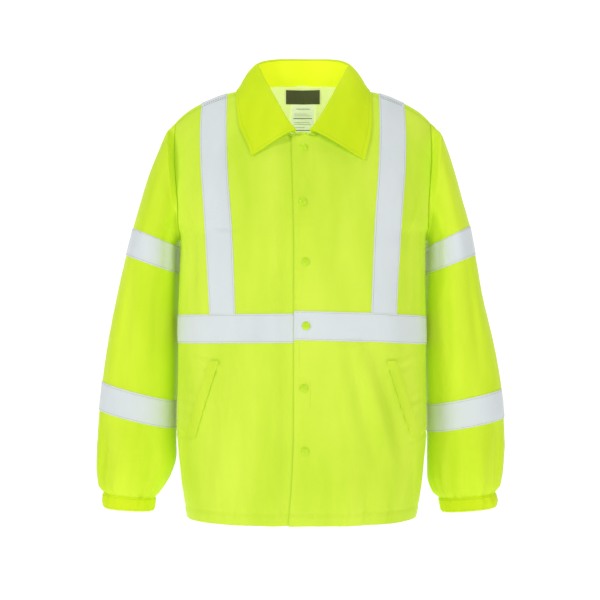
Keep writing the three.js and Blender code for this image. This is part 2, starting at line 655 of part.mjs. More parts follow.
// The frame of a sleeve's ring: its middle, the reach to its outer end, and its half depth
function ringFrame(ring, side) {
  const outer = vector(side * ring.outerX, ring.back, ring.outerZ);
  const inner = vector(side * ring.innerX, ring.back, ring.innerZ);
  const middle = outer.clone().add(inner).divideScalar(2);
  return { middle, reach: outer.sub(inner).divideScalar(2), depth: ring.depth };
}

// A point of a ring by its angle: 0 at the outer end, 90 at the front, 180 inside
function ringPoint({ middle, reach, depth }, turn) {
  const out = signedPower(Math.cos(radians(turn)), 2 / SLEEVE_POWER);
  const forward = signedPower(Math.sin(radians(turn)), 2 / SLEEVE_POWER);
  return middle.clone().addScaledVector(reach, out).add(vector(0, -depth * forward, 0));
}

const roundSleeve = (turn) => ((((turn % 360) + 360) % 360) / 360) * SLEEVE_GIRTH;
const sleeveFolds = SLEEVE_FOLDS.map(({ turn0, z0, turn1, z1, width, depth }) =>
  ({ from: [roundSleeve(turn0), z0], to: [roundSleeve(turn1), z1], width, depth }));

// A sleeve's rings of places, from the armhole loop down to the cuff's lower edge
function sleeveRings(loop, table, cuff, side) {
  const top = ARMHOLE[ARMHOLE.length - 1].x;
  const first = ringFrame({ outerX: top, outerZ: ridgeZ(top), innerX: ARMHOLE[0].x, innerZ: ARMPIT,
    back: 2, depth: 72 }, side);
  const evenTurns = loop.map((_, c) => 180 - (360 * c) / loop.length);
  const startTurns = loop.map(({ point }, c) => {
    const off = point.clone().sub(first.middle);
    const out = signedPower(off.dot(first.reach) / first.reach.lengthSq(), SLEEVE_POWER / 2);
    const forward = signedPower(-off.y / first.depth, SLEEVE_POWER / 2);
    const turn = degrees(Math.atan2(forward, out));
    return turn + 360 * Math.round((evenTurns[c] - turn) / 360);
  });
  const normalAt = (frame, turn) => {
    const inPlane = frame.reach.clone().normalize();
    const way = ringPoint(frame, turn + 2).sub(ringPoint(frame, turn - 2)).normalize();
    return inPlane.clone().multiplyScalar(-way.y).add(vector(0, way.dot(inPlane), 0));
  };
  const armhole = loop.map(({ point }, c) => ({ point, normal: normalAt(first, startTurns[c]) }));
  const rings = [...table, ...cuff].map((ring, r) => {
    const frame = ringFrame(ring, side);
    const last = table.length - 1;
    const gathered = smooth((r - last + GATHERED_RINGS) / GATHERED_RINGS);
    const gatherDepth = r >= last ? GATHER_DEPTH.cuff : GATHER_DEPTH.sleeve * gathered;
    return loop.map((_, c) => {
      const turn = mix(startTurns[c], evenTurns[c], smooth((r + 1) / SETTLED_RING));
      const normal = normalAt(frame, turn);
      const outward = smooth(Math.abs(Math.abs(turn) - 180) / 40);
      const fold = r < last ? foldHeight(sleeveFolds, roundSleeve(turn), frame.middle.z) * outward : 0;
      const height = fold + (c % 2 ? gatherDepth : -gatherDepth);
      return { point: ringPoint(frame, turn).addScaledVector(normal, height), normal };
    });
  });
  return [armhole, ...rings];
}

const sleeves = {
  left: sleeveRings(armholeLoop(panels.frontLeft, panels.backLeft), SLEEVE_LEFT, CUFF_LEFT, LEFT),
  right: sleeveRings(armholeLoop(panels.frontRight, panels.backRight), SLEEVE_RIGHT, CUFF_RIGHT, RIGHT),
};
const SLEEVE_END = SLEEVE_LEFT.length;

// The body's surface in close steps, which holds the collar's leaf clear of it
const closeBody = [FRONT, BACK].flatMap((face) =>
  evenly(1.2, 2, 60).flatMap((rise) =>
    evenly(-0.62, 0.62, 80).map((across) => ({
      point: bareBody(face, across, rise), normal: bodyNormal(face, across, rise) }))));

function heldClear(point, clear) {
  for (let i = 0; i < 3; i++) {
    const near = closeBody.reduce((best, place) =>
      place.point.distanceToSquared(point) < best.point.distanceToSquared(point) ? place : best);
    const height = point.clone().sub(near.point).dot(near.normal);
    if (height < clear) point.addScaledVector(near.normal, clear - height);
  }
  return point;
}

// The neckline's edge as the left panels have it, at an angle from the middle of the front, and
// mirrored for the wearer's right
function neckEdge(side, angle) {
  const rows = angle < NECK_SEAM ? panels.frontLeft : panels.backLeft;
  const start = angle < NECK_SEAM ? -NECK_CORNER : 180;
  const row = rows.length - 1 - NECK_ROWS + (NECK_ROWS * (angle - start)) / (NECK_SEAM - start);
  const place = between(rows, row, 0);
  const outward = between(rows, row, 1).point.sub(place.point);
  outward.projectOnPlane(place.normal).normalize();
  const mirror = (v) => vector(side * v.x, v.y, v.z);
  return { point: mirror(place.point), normal: mirror(place.normal), outward: mirror(outward) };
}

const collarAt = (column) => curve(COLLAR, "angle", column);
const foldOf = ["foldX", "foldY", "foldZ"].map(collarAt);
const edgeOf = ["edgeX", "edgeY", "wider"].map(collarAt);

// The collar's rows: up the stand from the neck seam, over the fold, and down the leaf to its edge.
// Their normals are on the underside of the leaf.
function collarRows() {
  const half = [
    COLLAR_END,
    ...evenly(-NECK_CORNER, NECK_SEAM, NECK_ROWS * 2).filter((angle) => angle > COLLAR_END + 3),
    ...evenly(NECK_SEAM, 180, NECK_ROWS * 2).slice(1),
  ];
  const angles = [...half.map((a) => [LEFT, a]), ...half.slice(0, -1).reverse().map((a) => [RIGHT, a])];
  const columns = angles.map(([side, angle]) => {
    const seam = neckEdge(side, angle);
    const base = seam.point.clone().addScaledVector(seam.normal, SEAM_CLEAR)
      .addScaledVector(seam.outward, COLLAR_CLOTH);
    const [foldX, foldY, foldZ] = foldOf.map((read) => read(180 - angle));
    const [narrowX, edgeY, wider] = edgeOf.map((read) => read(180 - angle));
    const edgeX = narrowX + (side === LEFT ? wider : 0);
    const fold = heldClear(vector(side * foldX, foldY, foldZ), FOLD_CLEAR);
    const away = vector(fold.x, fold.y - RIDGE_SHIFT, 0).normalize();
    const face = edgeY < RIDGE_SHIFT ? FRONT : BACK;
    const rise = riseAtDepth(face, side * edgeX, edgeY);
    const edge = bareBody(face, acrossAt(side * edgeX, rise), rise);
    const stand = evenly(0, 1, STAND_ROWS).slice(0, -1).map((t) =>
      base.clone().lerp(fold, t).addScaledVector(away, -STAND_BULGE * Math.sin(Math.PI * t)));
    const turned = fold.clone().addScaledVector(away, FOLD_TURN.out).add(vector(0, 0, FOLD_TURN.up));
    const leaf = evenly(0, 1, LEAF_ROWS).slice(1).map((t) => {
      const bulge = LEAF_BULGE * Math.sin(Math.PI * t ** 0.6);
      const point = fold.clone().lerp(edge, t).addScaledVector(away, bulge).add(vector(0, 0, bulge / 2));
      return heldClear(point, LEAF_CLEAR);
    });
    return { points: [...stand, fold, turned, ...leaf], seam };
  });
  const rows = withNormals(columns[0].points.map((_, r) => columns.map(({ points }) => points[r])));
  rows[0].forEach(({ normal }, c) => normal.projectOnPlane(columns[c].seam.normal).normalize());
  return rows;
}

// Normals of rows of points, from their neighbours
function withNormals(rows) {
  const at = (r, c) => rows[clamp(r, 0, rows.length - 1)][clamp(c, 0, rows[0].length - 1)];
  return rows.map((row, r) => row.map((point, c) => {
    const up = at(r + 1, c).clone().sub(at(r - 1, c));
    const along = at(r, c + 1).clone().sub(at(r, c - 1));
    return { point, normal: along.cross(up).normalize() };
  }));
}

// A round domed snap that lies on a place
function snap(place, lift) {
  const foot = place.point.clone().addScaledVector(place.normal, lift);
  const first = vector(1, 0, 0).cross(place.normal).normalize();
  const second = place.normal.clone().cross(first);
  const levels = [[1, 0], [1, SNAP.rim], [SNAP.shoulder, SNAP.dome * 0.82]];
  const points = [foot, foot.clone().addScaledVector(place.normal, SNAP.dome)];
  for (const [share, height] of levels) {
    for (const turn of evenly(0, 2 * Math.PI, SNAP.sides).slice(0, -1)) {
      points.push(foot.clone().addScaledVector(place.normal, height)
        .addScaledVector(first, SNAP.radius * share * Math.cos(turn))
        .addScaledVector(second, SNAP.radius * share * Math.sin(turn)));
    }
  }
  const at = (level, i) => 2 + level * SNAP.sides + (i % SNAP.sides);
  const index = [];
  for (let i = 0; i < SNAP.sides; i++) {
    index.push(0, at(0, i + 1), at(0, i), 1, at(2, i), at(2, i + 1));
    for (const level of [0, 1]) {
      const [a, b, c, d] = [at(level, i), at(level, i + 1), at(level + 1, i + 1), at(level + 1, i)];
      index.push(a, b, c, a, c, d);
    }
  }
  const geometry = new THREE.BufferGeometry();
  const numbers = points.flatMap((p) => p.toArray());
  geometry.setAttribute("position", new THREE.Float32BufferAttribute(numbers, 3));
  geometry.setIndex(index);
  return geometry;
}

const jacket = new THREE.Group();
function add(name, geometry, material) {
  const mesh = new THREE.Mesh(geometry, material.clone());
  mesh.name = name;
  jacket.add(mesh);
}

function addWall(name, rows, material, thickness, lift = 0, closed = false) {
  add(name, wall(surfaceOf(rows, closed), thickness, lift), material);
}

// The panels. Every seam edge is drawn in: the slanted shoulder seams more than the others.
addWall("front_left", drawnIn(panels.frontLeft, { high: SHOULDER_SEAM, end: HALF_SEAM }), SHELL, CLOTH);
addWall("front_right", drawnIn(panels.frontRight, { high: SHOULDER_SEAM, end: HALF_SEAM }), SHELL, CLOTH);
const wholeBack = backOf((rows) => drawnIn(rows, { high: SHOULDER_SEAM, end: HALF_SEAM }));
add("back", wall(wholeBack, CLOTH), SHELL);

// Tapes of the body
const TAPE_LIFT = TAPE + SEAM;
const straps = {
  front_left: panels.frontLeft,
  front_right: panels.frontRight,
  back_left: panels.backLeft,
  back_right: panels.backRight,
};
for (const [name, rows] of Object.entries(straps)) {
  const strip = rows.slice(TAPE_HIGH).map((row) => row.slice(STRAP_START, STRAP_END + 1));
  addWall(`shoulder_tape_${name}`, drawnIn(strip, { low: SEAM, high: HALF_SEAM }), SILVER, TAPE, TAPE_LIFT);
}
const waistTape = (rows) => drawnIn(rows.slice(TAPE_LOW, TAPE_HIGH + 1), { end: HALF_SEAM });
addWall("waist_tape_front_left", waistTape(panels.frontLeft), SILVER, TAPE, TAPE_LIFT);
addWall("waist_tape_front_right", waistTape(panels.frontRight), SILVER, TAPE, TAPE_LIFT);
add("waist_tape_back", wall(backOf(waistTape), TAPE, TAPE_LIFT), SILVER);

// Sleeves with their tapes and cuffs
for (const [name, rings] of Object.entries(sleeves)) {
  const sleeve = drawnIn(rings.slice(0, SLEEVE_END + 1), { low: HALF_SEAM, high: HALF_SEAM });
  addWall(`sleeve_${name}`, sleeve, SHELL, CLOTH, 0, true);
  for (const [level, ring] of [["upper", UPPER_TAPE_RING], ["lower", LOWER_TAPE_RING]]) {
    addWall(`sleeve_tape_${level}_${name}`, rings.slice(ring, ring + 2), SILVER, TAPE, TAPE_LIFT, true);
  }
  addWall(`cuff_${name}`, drawnIn(rings.slice(SLEEVE_END), { low: HALF_SEAM }), SHELL, CUFF_CLOTH, 0, true);
}

addWall("collar", collarRows(), SHELL, COLLAR_CLOTH);

// Pocket welts
for (const [name, side] of [["left", LEFT], ["right", RIGHT]]) {
  const strip = evenly(1, 0, POCKET.cells).map((t) => {
    const [x, z] = [mix(POCKET.topX, POCKET.lowX, t), mix(POCKET.topZ, POCKET.lowZ, t)];
    return evenly(1, 0, POCKET.across).map((off) =>
      placeAt(fronts[name], side * (x - POCKET.width * off), z, FRONT));
  });
  addWall(`pocket_welt_${name}`, strip, SHELL, WELT.cloth, WELT.cloth + WELT.gap);
}

// Lining and labels in the back of the neck
const liningCut = (rows) => rows.slice(LINING.row).map((row) => row.slice(0, STRAP_START + 1));
const LINING_LIFT = -CLOTH - LINING.gap;
const lining = backOf((rows) => drawnIn(liningCut(rows), { high: 1 }));
add("lining_back", wall(lining, LINING.cloth, LINING_LIFT), PALE_LINING);
function addLabel(name, label, material) {
  const lean = Math.tan(radians(label.lean));
  const rows = evenly(1, 0, 3).map((t) => evenly(-0.5, 0.5, 6).map((across) => {
    const x = label.x + label.width * across - lean * label.height * t;
    return placeAt(wholeBack, x, label.top - label.height * t, BACK);
  }));
  addWall(name, rows, material, label.cloth, LINING_LIFT - LINING.cloth - LABEL_GAP);
}
addLabel("neck_label", NECK_LABEL, DARK_LABEL);
addLabel("care_label", CARE_LABEL, WHITE_LABEL);

SNAPS.forEach(({ x, z }, i) => {
  const place = placeAt(fronts.left, x, z, FRONT);
  add(`snap_${i + 1}`, snap(place, SNAP.clear + (i === TAPED_SNAP ? TAPE_LIFT : 0)), SNAP_PLASTIC);
});

export default jacket;
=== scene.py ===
import bpy
import numpy as np
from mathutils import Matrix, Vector


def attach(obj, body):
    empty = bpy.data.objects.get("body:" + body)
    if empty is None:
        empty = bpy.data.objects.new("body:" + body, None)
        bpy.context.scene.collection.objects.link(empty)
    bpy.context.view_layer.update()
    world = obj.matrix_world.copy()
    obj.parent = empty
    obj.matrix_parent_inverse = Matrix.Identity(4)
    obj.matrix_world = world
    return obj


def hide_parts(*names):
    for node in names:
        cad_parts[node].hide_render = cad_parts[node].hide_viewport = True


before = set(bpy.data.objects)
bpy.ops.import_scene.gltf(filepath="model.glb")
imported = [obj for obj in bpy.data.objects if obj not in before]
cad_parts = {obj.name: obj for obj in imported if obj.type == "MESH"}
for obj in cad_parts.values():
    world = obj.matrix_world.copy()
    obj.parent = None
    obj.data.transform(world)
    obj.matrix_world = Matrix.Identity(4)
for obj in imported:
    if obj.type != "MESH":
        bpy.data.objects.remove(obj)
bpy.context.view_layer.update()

FRONT, BACK, RIGHT, LEFT = -1, 1, -1, 1
SIDES = {"left": LEFT, "right": RIGHT}
MM = 0.001

# Cloth, tape and seams
CLOTH = 1.4
TAPE = 0.9
SEAM = 0.3
HALF_SEAM = SEAM / 2
TAPE_LIFT = TAPE + SEAM
TAPE_WIDTH = 50.8
HEM = -787
CHEST = -300

# The body's sections: height, half width, front and back depth, and drift to the side
BODY = (
    (-787, 210, 137, 128, -2.5),
    (-765, 214, 140, 131, -2.5),
    (-722, 221, 144, 135, -2.5),
    (-600, 230, 146, 138, -2),
    (-500, 229, 145, 137, -2),
    (-440, 228, 144, 136, -2),
    (-340, 226, 142, 137, -1),
    (-300, 226, 141, 138, 0),
    (-272, 226.5, 140, 139, 0),
    (-242, 239, 138, 140, 0),
    (-205, 248, 135, 139, 0),
    (-150, 255, 129, 134, 0),
    (-75, 260, 120, 121, 0),
    (0, 260, 112, 112, 0),
)
SECTION_POWER = 2.5
DOME_FRONT, DOME_BACK = 1.7, 2.6
RIDGE_SHIFT = 8
RIDGE = (
    (0, 46), (40, 34), (85, 8), (110, -1), (139, -7),
    (180, -22), (205, -35), (222, -47), (236, -60), (262, -84),
)
SEAM_ANGLE = 15
ARMPIT = -272
ARMHOLE = ((-272, 226.5), (-205, 227.5), (-150, 231), (-95, 235), (-50, 236.5), (0, 237))
NECK_HALF, NECK_FRONT, NECK_BACK, NECK_CORNER_LEVEL = 85, 95, 60, -125
FRONT_EDGE = ((-787, -25.5), (-715, -19.5), (-620, -16), (-300, -15.5), (-200, -18), (-125, -20.5))
UNDERLAP = 20.5
STEP_DEPTH, STEP_FROM, STEP_TO = 3.8, -54, -30
PAST_SIDE = 1000

# The shoulder tape: height, inner and outer edge
STRAP = (
    (-787, 110, 155), (-415, 119, 165), (-314, 123, 170.5), (-237, 127.5, 175),
    (-185, 132, 179.5), (-131, 136, 184), (-59, 139, 187), (0, 140, 187),
)
# The waist tape: its top in the middle, and how far it drops to the side
WAIST = {
    (FRONT, RIGHT): (-414.5, 4), (FRONT, LEFT): (-410, 12),
    (BACK, RIGHT): (-414, 8), (BACK, LEFT): (-414, 8),
}

# Rows and columns of a half of the body, by number
TAPE_LOW, TAPE_HIGH, CHEST_ROW, ARMPIT_ROW, CORNER_ROW, LAST_ROW = 8, 9, 12, 13, 17, 22
STRAP_START, STRAP_END, LAST_COLUMN = 6, 8, 13
DOME_ROWS = 5
DOME_LEVELS = {FRONT: (-272, -242, -205, -165, -125), BACK: (-272, -242, -198, -140, -82)}
ROW_DROP = 1.5
STARTS, CELLS = np.array([0, 6, 8]), np.array([6, 2, 5])
ROW_SIZE = (WAIST[BACK, LEFT][0] - TAPE_WIDTH - HEM) / TAPE_LOW
TOP_ROW_SIZE = COLUMN_SIZE = 22
WEAVE_ROW, WEAVE_RING = 40, 50

# Sleeve rings: outer x and z, inner x and z. The first is the armhole.
SLEEVE = {
    RIGHT: (
        (237, -60.9, 226.5, -272), (250, -78, 229, -279), (267, -116, 231, -281),
        (284, -158, 232.5, -283.5), (300, -208, 233.5, -286.5), (315, -258, 234.5, -291),
        (328, -308, 235, -341), (345, -378, 236.5, -408), (361, -456, 237, -488), (374, -541, 238, -577),
        (379.5, -594, 238, -629), (382.5, -652, 236.5, -680), (384, -698, 246.5, -716),
        (380, -735, 269, -749), (371.5, -748, 276, -757), (372.5, -762, 277, -769),
        (370, -776, 279, -782),
    ),
    LEFT: (
        (237, -60.9, 226.5, -272), (254, -80, 229, -279), (267.5, -112, 231, -281),
        (281, -154, 232, -283.5), (295.5, -206, 232.5, -286.5), (309, -254, 233, -291),
        (319.5, -307, 232.5, -341), (334.5, -380, 231.5, -408), (352, -456, 231.5, -488),
        (370.5, -555, 233.5, -584), (375, -609, 233.5, -636), (375.5, -655, 232, -684),
        (373, -699, 232.5, -718), (367, -735, 244, -749), (358.5, -748, 254, -758),
        (361.5, -762, 256.5, -771), (359, -775, 259, -784),
    ),
}
# How far back each ring lies, and its half depth
RING_DEPTHS = (
    (2, 72), (4, 74), (6, 80), (8, 85), (11, 88), (14, 90), (18, 89), (23, 85), (25, 80), (25, 74),
    (25, 71), (20, 65), (15, 55), (11, 40), (10, 33), (10, 32), (10, 31),
)
UPPER_TAPE_RING, LOWER_TAPE_RING, CUFF_RING, LAST_RING = 5, 9, 14, 16
SLEEVE_POWER = 2.2
SETTLED_RING = 6
RING_SIZE, CUFF_LENGTH = 28, 28
GATHERS = 18
GATHER_CUFF, GATHER_SLEEVE, GATHERED_RINGS = 1.1, 2.2, 3
CUFF_CLOTH = 1.8

# The collar by the angle from the middle of the back: its fold, its edge seen from above, and how
# much wider its leaf is on the wearer's left
COLLAR = (
    (0, 0, 68, 64, 0, 96, 0), (30, 39, 62, 62.5, 52, 90, 0), (60, 68, 42, 56.5, 96, 64, 0),
    (75, 80, 25, 50, 113, 36, 0), (90, 84, 5, 43, 121, 8, 0), (100, 80, -10, 33, 122, -10, 2),
    (112, 74, -25, 18, 121, -26, 3), (125, 63, -42, -4, 119, -42, 5), (138, 50, -58, -30, 115, -58, 8),
    (150, 38, -71, -55, 104, -74, 14), (160, 27, -81, -75, 96, -84, 17),
    (171, 14, -89, -91, 91, -91.5, 18),
)
COLLAR_CLOTH, COLLAR_END = 1.8, 9
SEAM_CLEAR, FOLD_CLEAR, LEAF_CLEAR = 0.45, 9, 2
LEAF_BULGE, STAND_BULGE = 5, 2
FOLD_OUT, FOLD_UP = 3, 1.2
LAP_ANGLE, LAP_RUN = 14, 2.5
STAND_ROWS, SPLINE_PARTS, LEAF_START = 3, 5, 45

# Labels: width, height, top, middle and lean
NECK_LABEL, NECK_LABEL_CLOTH = (66, 25, 11, 0, 0), 0.8
CARE_LABEL, CARE_LABEL_CLOTH = (46, 56, -14.6, 1, 3), 0.6
LINING_ROW, LINING_CLOTH, LINING_GAP, LABEL_GAP = 14, 1, 0.4, 0.8
# Rules on the care label: how far down it, from where to where across it, and how thick
RULES = (
    (0.14, -0.3, 0.3, 0.9), (0.3, -0.38, 0.2, 0.5), (0.36, -0.38, 0.36, 0.5), (0.45, -0.4, 0.4, 1.3),
    (0.58, -0.38, 0.3, 0.5), (0.64, -0.38, 0.38, 0.5), (0.74, -0.38, 0.1, 0.5), (0.84, -0.34, 0.4, 1.3),
)
RULE_LIFT = 0.15

# Snaps from the top down, and a cap's profile from its rim to its dimple as shares of its size
SNAPS = ((0.5, -119), (-0.5, -218.5), (4.5, -324.5), (5, -436), (1.5, -545), (3, -655))
SNAP_RADIUS, SNAP_HEIGHT, SNAP_CLEAR, TAPED_SNAP, SNAP_SIDES = 7.4, 2.7, 0.5, 4, 40
PROFILE = (
    (1.0, 0.0), (1.0, 0.22), (0.985, 0.34), (0.94, 0.42), (0.86, 0.44), (0.82, 0.5), (0.74, 0.72),
    (0.6, 0.88), (0.42, 0.97), (0.26, 1.0), (0.16, 0.97), (0.08, 0.93), (0.01, 0.92),
)
POCKET_TOP, POCKET_LOW, POCKET_WIDTH = (165, -498), (211, -637), 18
WELT_CLOTH, WELT_GAP, WELT_LENGTH = 1.2, 0.8, 146

# Stitch lines: their distance from the hem, the front's edge, a tape's edge and the collar's edge
HEM_STITCH, EDGE_STITCH, TAPE_STITCH, COLLAR_STITCH = 22, 6, 2.4, 6
SEAM_STITCH_ROWS, CUFF_STITCH_RINGS = 0.14, 0.3

# Folds of the body: from x and z to x and z, width and depth
BODY_FOLDS = {
    FRONT: (
        (96, -476, 152, -668, 15, 3.6), (124, -484, 176, -680, 15, -3.2), (60, -484, 96, -655, 14, 2.6),
        (80, -490, 122, -670, 13, -2.6), (84, -670, 78, -785, 16, 2.4), (-106, -476, -136, -700, 20, 4),
        (-172, -600, -182, -745, 24, -4.2), (-74, -495, -94, -720, 22, -2.8),
        (-44, -580, -44, -770, 18, 2), (194, -225, 188, -404, 14, -3.4), (-198, -250, -196, -404, 14, -3),
        (-70, -190, -88, -400, 30, -2.2), (76, -200, 70, -400, 32, -2),
    ),
    BACK: (
        (-70, -150, -96, -400, 26, -3), (64, -160, 90, -404, 28, -3.4), (-192, -240, -180, -404, 20, -4),
        (190, -230, 182, -404, 18, -3.6), (-60, -484, -84, -770, 24, 4),
        (-114, -495, -142, -775, 22, -4.4), (36, -484, 30, -765, 26, -3.2), (90, -480, 114, -775, 22, 4),
        (154, -495, 172, -755, 22, -3.8),
    ),
}
# Finer creases of the body, in the same columns
BODY_CREASES = {
    FRONT: (
        (205, -250, 200, -400, 6, -1.6), (180, -150, 186, -300, 9, 1.2), (-190, -150, -188, -320, 9, 1.2),
        (-196, -520, -176, -600, 5, 1.6), (-178, -516, -158, -590, 5, -1.4),
        (-206, -560, -190, -660, 5, -1.4), (-150, -530, -140, -640, 8, 1.4),
        (150, -520, 176, -620, 6, 1.4), (130, -500, 150, -560, 6, 1.1), (150, -498, 197, -655, 9, -2.4),
        (190, -650, 200, -740, 9, -1.8), (30, -500, 60, -610, 10, 1.2), (44, -690, 52, -770, 8, -1.2),
        (-70, -700, -66, -775, 8, -1.3), (-110, -690, -112, -780, 9, 1.4),
        (110, -700, 112, -780, 8, -1.4), (-153, -263, -116, -267, 4.5, -1.9),
        (-152, -272, -118, -276, 5, 1.1), (70, -456, 110, -459, 4.5, -1.3),
    ),
    BACK: (
        (-150, -180, -168, -330, 10, 1.6), (140, -190, 160, -330, 10, 1.4),
        (-20, -500, -34, -640, 9, 1.3), (60, -560, 70, -740, 10, 1.5), (-160, -560, -176, -740, 9, 1.6),
        (128, -600, 140, -770, 8, 1.5), (-100, -700, -104, -780, 8, -1.2),
    ),
}
BODY_GIRTH = 1190
# The cloth's folds run deeper than those of its solid.
DEEPER = 1.6
FOLD_END = 0.4
FLAT_EDGE, YOKE_RISE = 24, 1.3

# Folds of the sleeves: from turn and z to turn and z, width and depth
SLEEVE_FOLDS = (
    (62, -340, 70, -540, 15, -3.4), (98, -330, 100, -530, 15, 3), (128, -140, 132, -345, 14, -3.6),
    (74, -140, 82, -300, 18, 2.2), (42, -635, 36, -740, 13, -4.4), (78, -640, 74, -740, 12, 3),
    (118, -650, 114, -740, 12, -3.6), (250, -190, 238, -440, 18, -4), (285, -340, 292, -580, 17, -3.6),
    (300, -640, 306, -735, 13, -4.2), (240, -650, 244, -735, 13, -4),
)
SLEEVE_CREASES = (
    (212, -170, 212, -620, 38, 13), (212, -235, 212, -600, 34, 13), (58, -650, 52, -742, 6, -1.8),
    (28, -660, 24, -742, 6, 1.8), (96, -670, 92, -742, 5, -1.5), (134, -670, 130, -742, 6, 1.5),
    (112, -370, 116, -500, 8, -1.4), (50, -370, 54, -460, 7, 1.2), (104, -150, 108, -250, 8, -1.4),
    (60, -110, 64, -180, 8, -1.2), (270, -660, 268, -742, 6, -1.8), (222, -300, 228, -420, 9, 1.5),
    (266, -380, 270, -520, 9, 1.4),
)
SLEEVE_GIRTH = 430


def smooth(t):
    t = np.clip(t, 0, 1)
    return t * t * (3 - 2 * t)


def signed_power(value, power):
    return np.sign(value) * np.abs(value) ** power


def floats(*values):
    """Arrays of numbers, drawn out to one shape"""
    return np.broadcast_arrays(*(np.asarray(value, float) for value in values))


def unit(way):
    return way / np.maximum(np.linalg.norm(way, axis=-1, keepdims=True), 1e-12)


def curve(table, column):
    """A smooth curve through a column of a table, by its first column. It never overshoots."""
    at = np.array([row[0] for row in table], float)
    value = np.array([row[column] for row in table], float)
    slope = np.diff(value) / np.diff(at)
    tangent = np.concatenate([slope[:1], np.zeros(len(slope) - 1), slope[-1:]])
    before, after = slope[:-1], slope[1:]
    same = before * after > 0
    both = np.where(same, before + after, 1)
    tangent[1:-1] = np.where(same, 2 * before * after / both, 0)

    def read(place):
        k = np.clip(place, at[0], at[-1])
        i = np.clip(np.searchsorted(at, k) - 1, 0, len(at) - 2)
        span = at[i + 1] - at[i]
        t = (k - at[i]) / span
        bend = tangent[i] * t * (1 - t) ** 2 - tangent[i + 1] * t * t * (1 - t)
        return value[i] + (value[i + 1] - value[i]) * smooth(t) + span * bend

    return read


body_half, body_front, body_back, body_drift = (curve(BODY, k) for k in (1, 2, 3, 4))
ridge_z = curve(RIDGE, 1)
armhole_x = curve(ARMHOLE, 1)
front_edge_x = curve(FRONT_EDGE, 1)
strap_inner, strap_outer = curve(STRAP, 1), curve(STRAP, 2)


def waves(seed, count, shortest, longest):
    """An even, irregular ripple of about one unit over an unrolled surface, from plain waves"""
    rng = np.random.default_rng(seed)
    length = rng.uniform(shortest, longest, count)
    turn = rng.uniform(0, 2 * np.pi, count)
    start = rng.uniform(0, 2 * np.pi, count)

    def read(x, y=0.0):
        total = 0.0
        for k in range(count):
            way = x * np.cos(turn[k]) + y * np.sin(turn[k])
            total += np.sin(2 * np.pi * way / length[k] + start[k])
        return total / np.sqrt(count)

    return read


rumple = waves(3, 9, 60, 150)
ripple = waves(8, 9, 16, 42)
pucker_wave = waves(5, 6, 7, 17)


def groove(off, reach):
    """One unit where the distance is none, fading within reach on both sides"""
    return np.exp(-((off / reach) ** 2))


def pucker(along, off, depth, reach):
    """Small puckers across a seam that lies at no distance"""
    return depth * pucker_wave(along) * groove(off, reach)


def folds_at(folds, around, z, girth):
    """How far folds stand out at a place of an unrolled surface that joins itself at its girth"""
    height = 0.0
    for start, end, width, depth in folds:
        dx, dz = end[0] - start[0], end[1] - start[1]
        for shift in (-girth, 0, girth):
            x = around + shift - start[0]
            inside = np.clip((x * dx + (z - start[1]) * dz) / (dx * dx + dz * dz), 0, 1)
            off = np.hypot(x - inside * dx, z - start[1] - inside * dz)
            swell = FOLD_END + (1 - FOLD_END) * np.sin(np.pi * inside)
            height += depth * swell * groove(off, width)
    return height


def level_of(rise):
    over = CHEST * (1 - np.sin(np.radians((rise - 1) * 90)))
    return np.where(rise <= 1, HEM + (CHEST - HEM) * rise, over)


def rise_of(level):
    dome = 1 + np.degrees(np.arcsin(np.clip(1 - level / CHEST, -1, 1))) / 90
    return np.where(level <= CHEST, (level - HEM) / (CHEST - HEM), dome)


def up_front(rise):
    """A rise counted up the front and down the back, as one counted up on either face"""
    return np.where(rise > 2, 4 - rise, rise)


def across_at(x, rise):
    level = level_of(up_front(rise))
    share = np.clip((x - body_drift(level)) / body_half(level), -1, 1)
    return np.degrees(np.arcsin(signed_power(share, SECTION_POWER / 2))) / 90


def bare_body(face, across, rise):
    """A point of the body without folds. Past a rise of 2 it comes down the other face."""
    across, rise = floats(across, rise)
    side = np.where(rise > 2, -face, face)
    own_rise = up_front(rise)
    level = level_of(own_rise)
    turn = np.radians(across * 90)
    x = body_drift(level) + body_half(level) * signed_power(np.sin(turn), 2 / SECTION_POWER)
    rounded = np.maximum(0, np.cos(turn)) ** (2 / SECTION_POWER)
    depth = np.where(side == FRONT, body_front(level), body_back(level))
    lift = np.sin(np.radians((np.maximum(own_rise, 1) - 1) * 90))
    power = np.where(side == FRONT, DOME_FRONT, DOME_BACK)
    dome = np.maximum(0, 1 - lift**power) ** (1 / power)
    z = np.where(own_rise <= 1, level, CHEST + (ridge_z(np.abs(x)) - CHEST) * lift)
    return np.stack([x, RIDGE_SHIFT * lift + side * depth * rounded * dome, z], -1)


def body_normal(face, across, rise):
    step = 0.004
    more, less = np.minimum(1, across + step), np.maximum(-1, across - step)
    wide = bare_body(face, more, rise) - bare_body(face, less, rise)
    tall = bare_body(face, across, rise + step) - bare_body(face, across, np.maximum(0, rise - step))
    return unit(np.cross(wide, tall)) * -face


def girth_at(face, across):
    turn = across * 90 if face == FRONT else 180 - across * 90
    return np.mod(turn, 360) / 360 * BODY_GIRTH


def unrolled(table):
    """Folds of the body with their ends given by girth and height"""
    made = []
    for face, rows in table.items():
        for x0, z0, x1, z1, width, depth in rows:
            start, end = (
                (float(girth_at(face, across_at(x, rise_of(min(z, CHEST))))), z)
                for x, z in ((x0, z0), (x1, z1))
            )
            made.append((start, end, width, depth))
    return made


body_folds, body_creases = unrolled(BODY_FOLDS), unrolled(BODY_CREASES)


